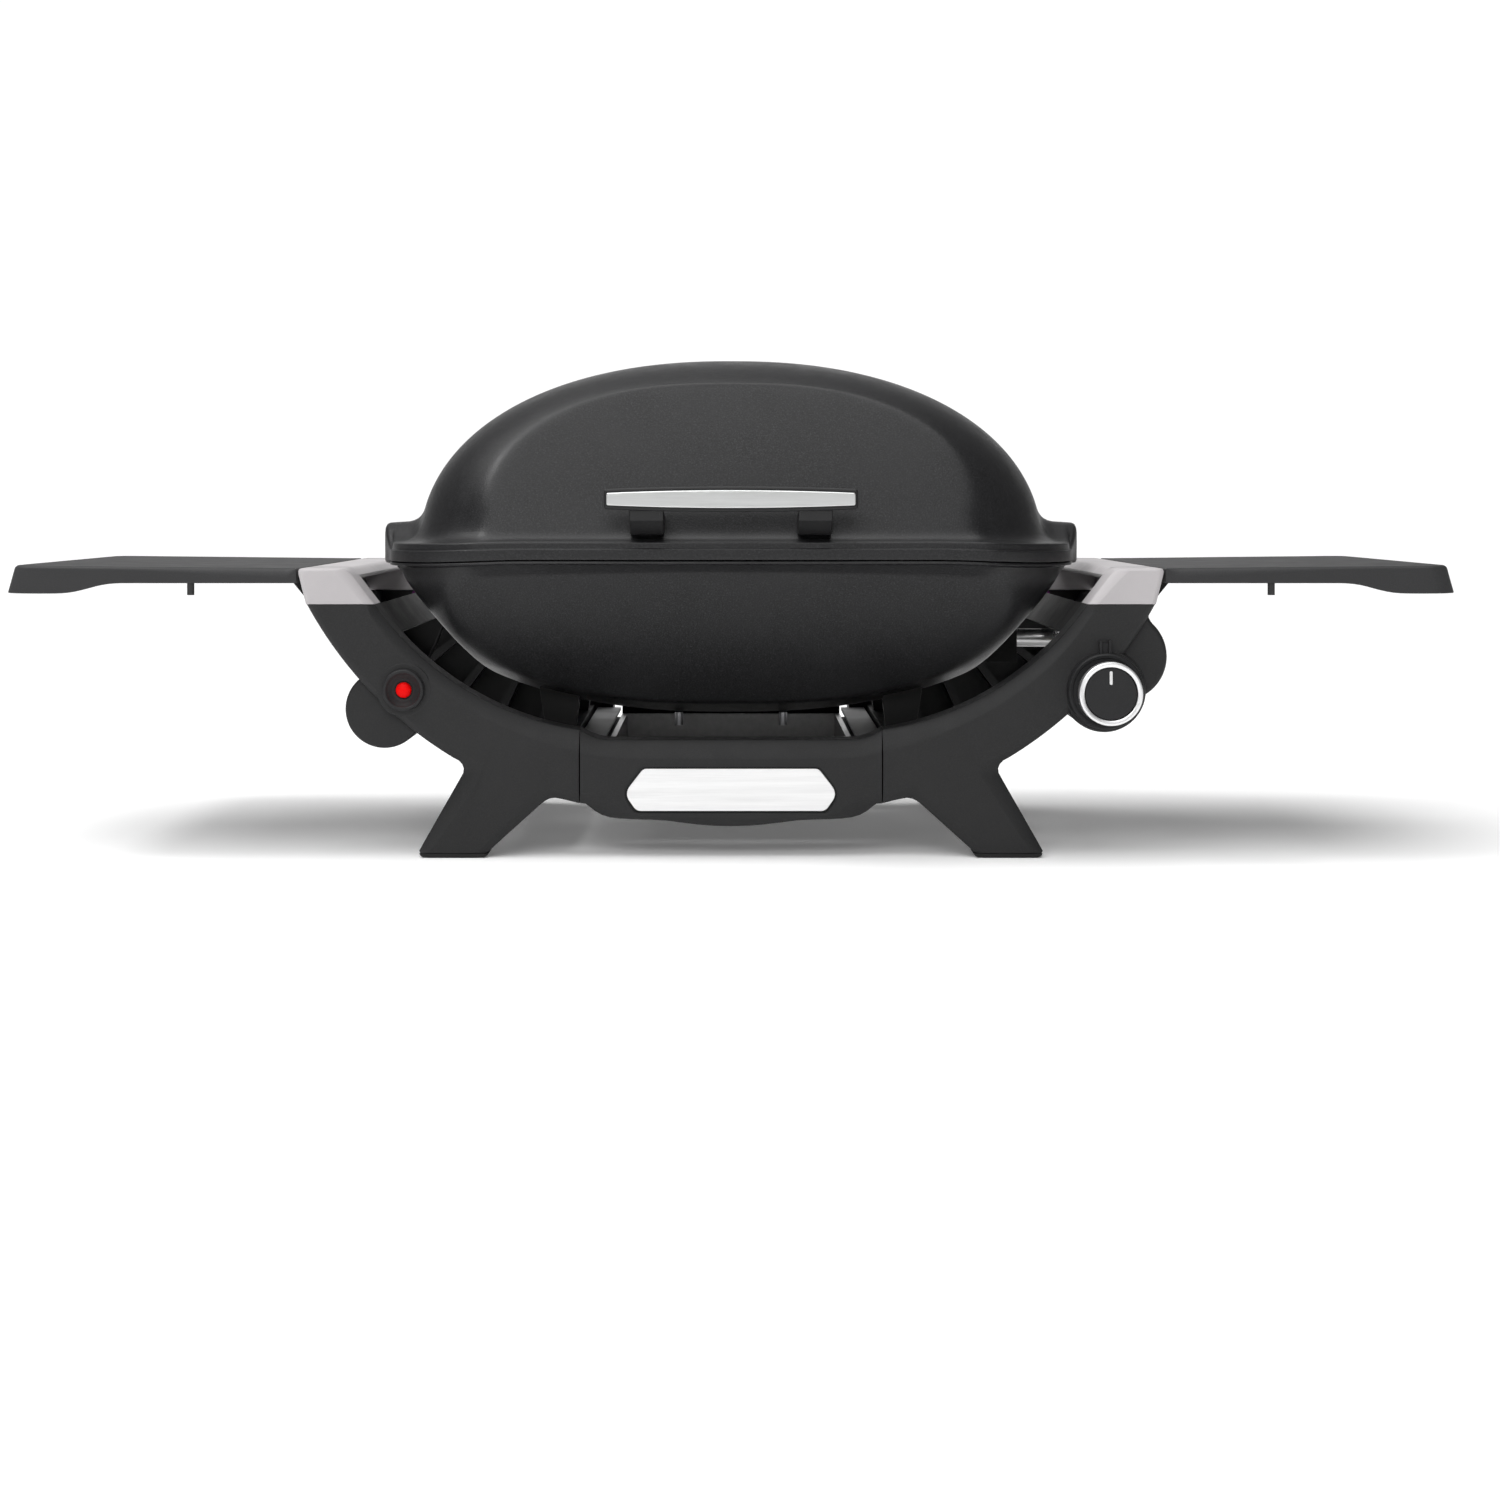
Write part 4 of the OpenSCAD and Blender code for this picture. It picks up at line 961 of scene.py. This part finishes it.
def build_knob():
    """Bezel with its two upright stops, fluted knob, metal ring, face and pointer line."""
    bm = bmesh.new()
    lathe_y(bm, *KNOB, [(6.2, FRONT - 4), (6.2, FRONT - 7.6), (29.4, FRONT - 7.6), (30.0, FRONT - 8.4),
                        (32.2, FRONT - 8.6), (33.2, FRONT - 8.0), (33.8, FRONT - 6.8), (34.2, FRONT - 3),
                        (34.4, FRONT + 0.4), (6.2, FRONT + 0.4)], 96)
    for x in (327.0, 335.2):
        box_rounded(bm, (x, FRONT - 6.0, 178.5), (x + 2.8, FRONT + 0.5, 193), 0.9)
    box_rounded(bm, (328.5, FRONT - 3.4, 178.5), (336.5, FRONT + 0.5, 190.5), 0.9)
    piece("knob_bezel_moulding", bm, "control", "frame", ("knob_bezel",),
          35)
    bm = bmesh.new()
    lathe_y(bm, *KNOB, [(3.5, -226), (3.5, -217), (24.5, -217), (25.6, -217.8), (26, -219), (26, -228.5),
                        (25.6, -229.5), (22.8, -229.5), (22.8, -235), (3.5, -235)], 144, 0.45, 36)
    piece("knob_body_moulding", bm, "control", "knob", ("knob_body",),
          35)
    bm = bmesh.new()
    lathe_y(bm, *KNOB, [(23.4, -229.4), (27.6, -229.4), (28.0, -230.0), (28.0, -237.6), (27.8, -238.6),
                        (27.2, -239.1), (26.2, -239.3), (24.2, -239.0), (23.6, -238.5), (23.4, -237.6),
                        (23.4, -229.4)], 128)
    piece("knob_ring_metal", bm, "ring", "knob", ("knob_ring",),
          35)
    bm = bmesh.new()
    lathe_y(bm, *KNOB, [(0.2, -237.2), (16, -237.3), (21.5, -237.5), (22.6, -237.2), (22.9, -236.6),
                        (22.9, -234.8), (0.2, -234.8)], 96)
    piece("knob_face_disc", bm, "control", "knob", ("knob_face",),
          35)
    bm = bmesh.new()
    mark = round_corners([(KNOB[0] - 1.3, KNOB[1] + 8), (KNOB[0] + 1.3, KNOB[1] + 8),
                          (KNOB[0] + 1.3, KNOB[1] + 20), (KNOB[0] - 1.3, KNOB[1] + 20)], 1.25, 4)
    rounded_slab(bm, mark, -237.9, -236.8, 0.3, 2.0)
    piece("knob_pointer_mark", bm, "mark", "knob")


def build_igniter():
    """Round bezel and the domed red button."""
    bm = bmesh.new()
    lathe_y(bm, *BUTTON, [(8, FRONT + 0.4), (8, FRONT - 1.6), (9.4, FRONT - 2.0), (10.6, FRONT - 2.2),
                          (13.6, FRONT - 4.4), (14.6, FRONT - 5.4), (15.0, FRONT - 6.4),
                          (15.8, FRONT - 7.0), (17.4, FRONT - 7.0), (18.2, FRONT - 6.4),
                          (18.6, FRONT - 5.2), (18.6, FRONT + 0.4)], 80)
    piece("igniter_bezel_moulding", bm, "control", "frame",
          ("igniter_bezel",), 35)
    bm = bmesh.new()
    lathe_y(bm, *BUTTON, [(0.2, -210.0), (2.4, -209.8), (4.6, -209.2), (6.2, -208.0), (6.8, -206.8),
                          (7.0, -205.4), (7.0, -180.4), (6.6, -180), (0.2, -180)], 64)
    piece("igniter_button_cap", bm, "red", "igniter_button",
          ("igniter_button",), 35)


# ---------------------------------------------------------------- parts that keep their CAD shape

def dress(name, material, width):
    """Gives a CAD node its finish, rounds its edges with modifiers and smooths its curved faces."""
    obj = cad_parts[name]
    obj.data.materials.clear()
    obj.data.materials.append(MATERIALS[material])
    weld = obj.modifiers.new("weld", "WELD")
    weld.merge_threshold = 0.00001
    if width > 0:
        bevel = obj.modifiers.new("round_edges", "BEVEL")
        bevel.width = width * MM
        bevel.segments = 2
        bevel.limit_method = "ANGLE"
        bevel.angle_limit = math.radians(32.0)
        bevel.use_clamp_overlap = True
    obj.data.shade_smooth()
    normals = obj.modifiers.new("normals", "WEIGHTED_NORMAL")
    normals.keep_sharp = True
    normals.weight = 100


PLAIN_PARTS = {
    "rear_panel": ("frame", 1.6), "left_side_panel": ("black", 0.6), "right_side_panel": ("black", 0.6),
    "left_support_rail": ("black", 1.0), "right_support_rail": ("black", 1.0), "tray_rails": ("rail", 0.5),
    "frame_screws": ("zinc", 0.6), "panel_clips": ("clip", 0.6), "box_screws": ("zinc", 0.8),
    "hinge_brackets": ("cast", 1.0), "hinge_pins": ("zinc", 0.6), "left_grate": ("grate", 1.3),
    "right_grate": ("grate", 1.3), "burner": ("steel", 0.0), "burner_post": ("rail", 0.5),
    "burner_collar": ("black", 1.2), "venturi_tube": ("steel", 0.3), "gas_line": ("steel", 0.0),
    "gas_valve": ("brass", 0.7), "gas_inlet": ("brass", 0.5), "electrode": ("ceramic", 0.3),
    "igniter_lead": ("rubber", 0.0), "igniter_module": ("black", 0.6), "stem_collar": ("zinc", 0.4),
    "valve_stem": ("zinc", 0.3), "drip_pan_holder": ("black", 0.8), "foil_tray": ("foil", 0.4),
    "lid_hinge_ears": ("cast", 1.2), "handle_screws": ("zinc", 0.6),
    "left_table_arms": ("black", 1.0), "right_table_arms": ("black", 1.0),
    "left_table_pins": ("zinc", 0.4), "right_table_pins": ("zinc", 0.4),
    "tool_hooks_left": ("table", 0.8), "tool_hooks_right": ("table", 0.8),
}


build_lid()
build_box()
for end in (-1, 1):
    build_end_frame(end)
    build_cap(end)
    build_table(end)
build_front_panel()
build_feet()
build_handle()
build_knob()
build_igniter()
for part, (finish, round_mm) in PLAIN_PARTS.items():
    dress(part, finish, round_mm)
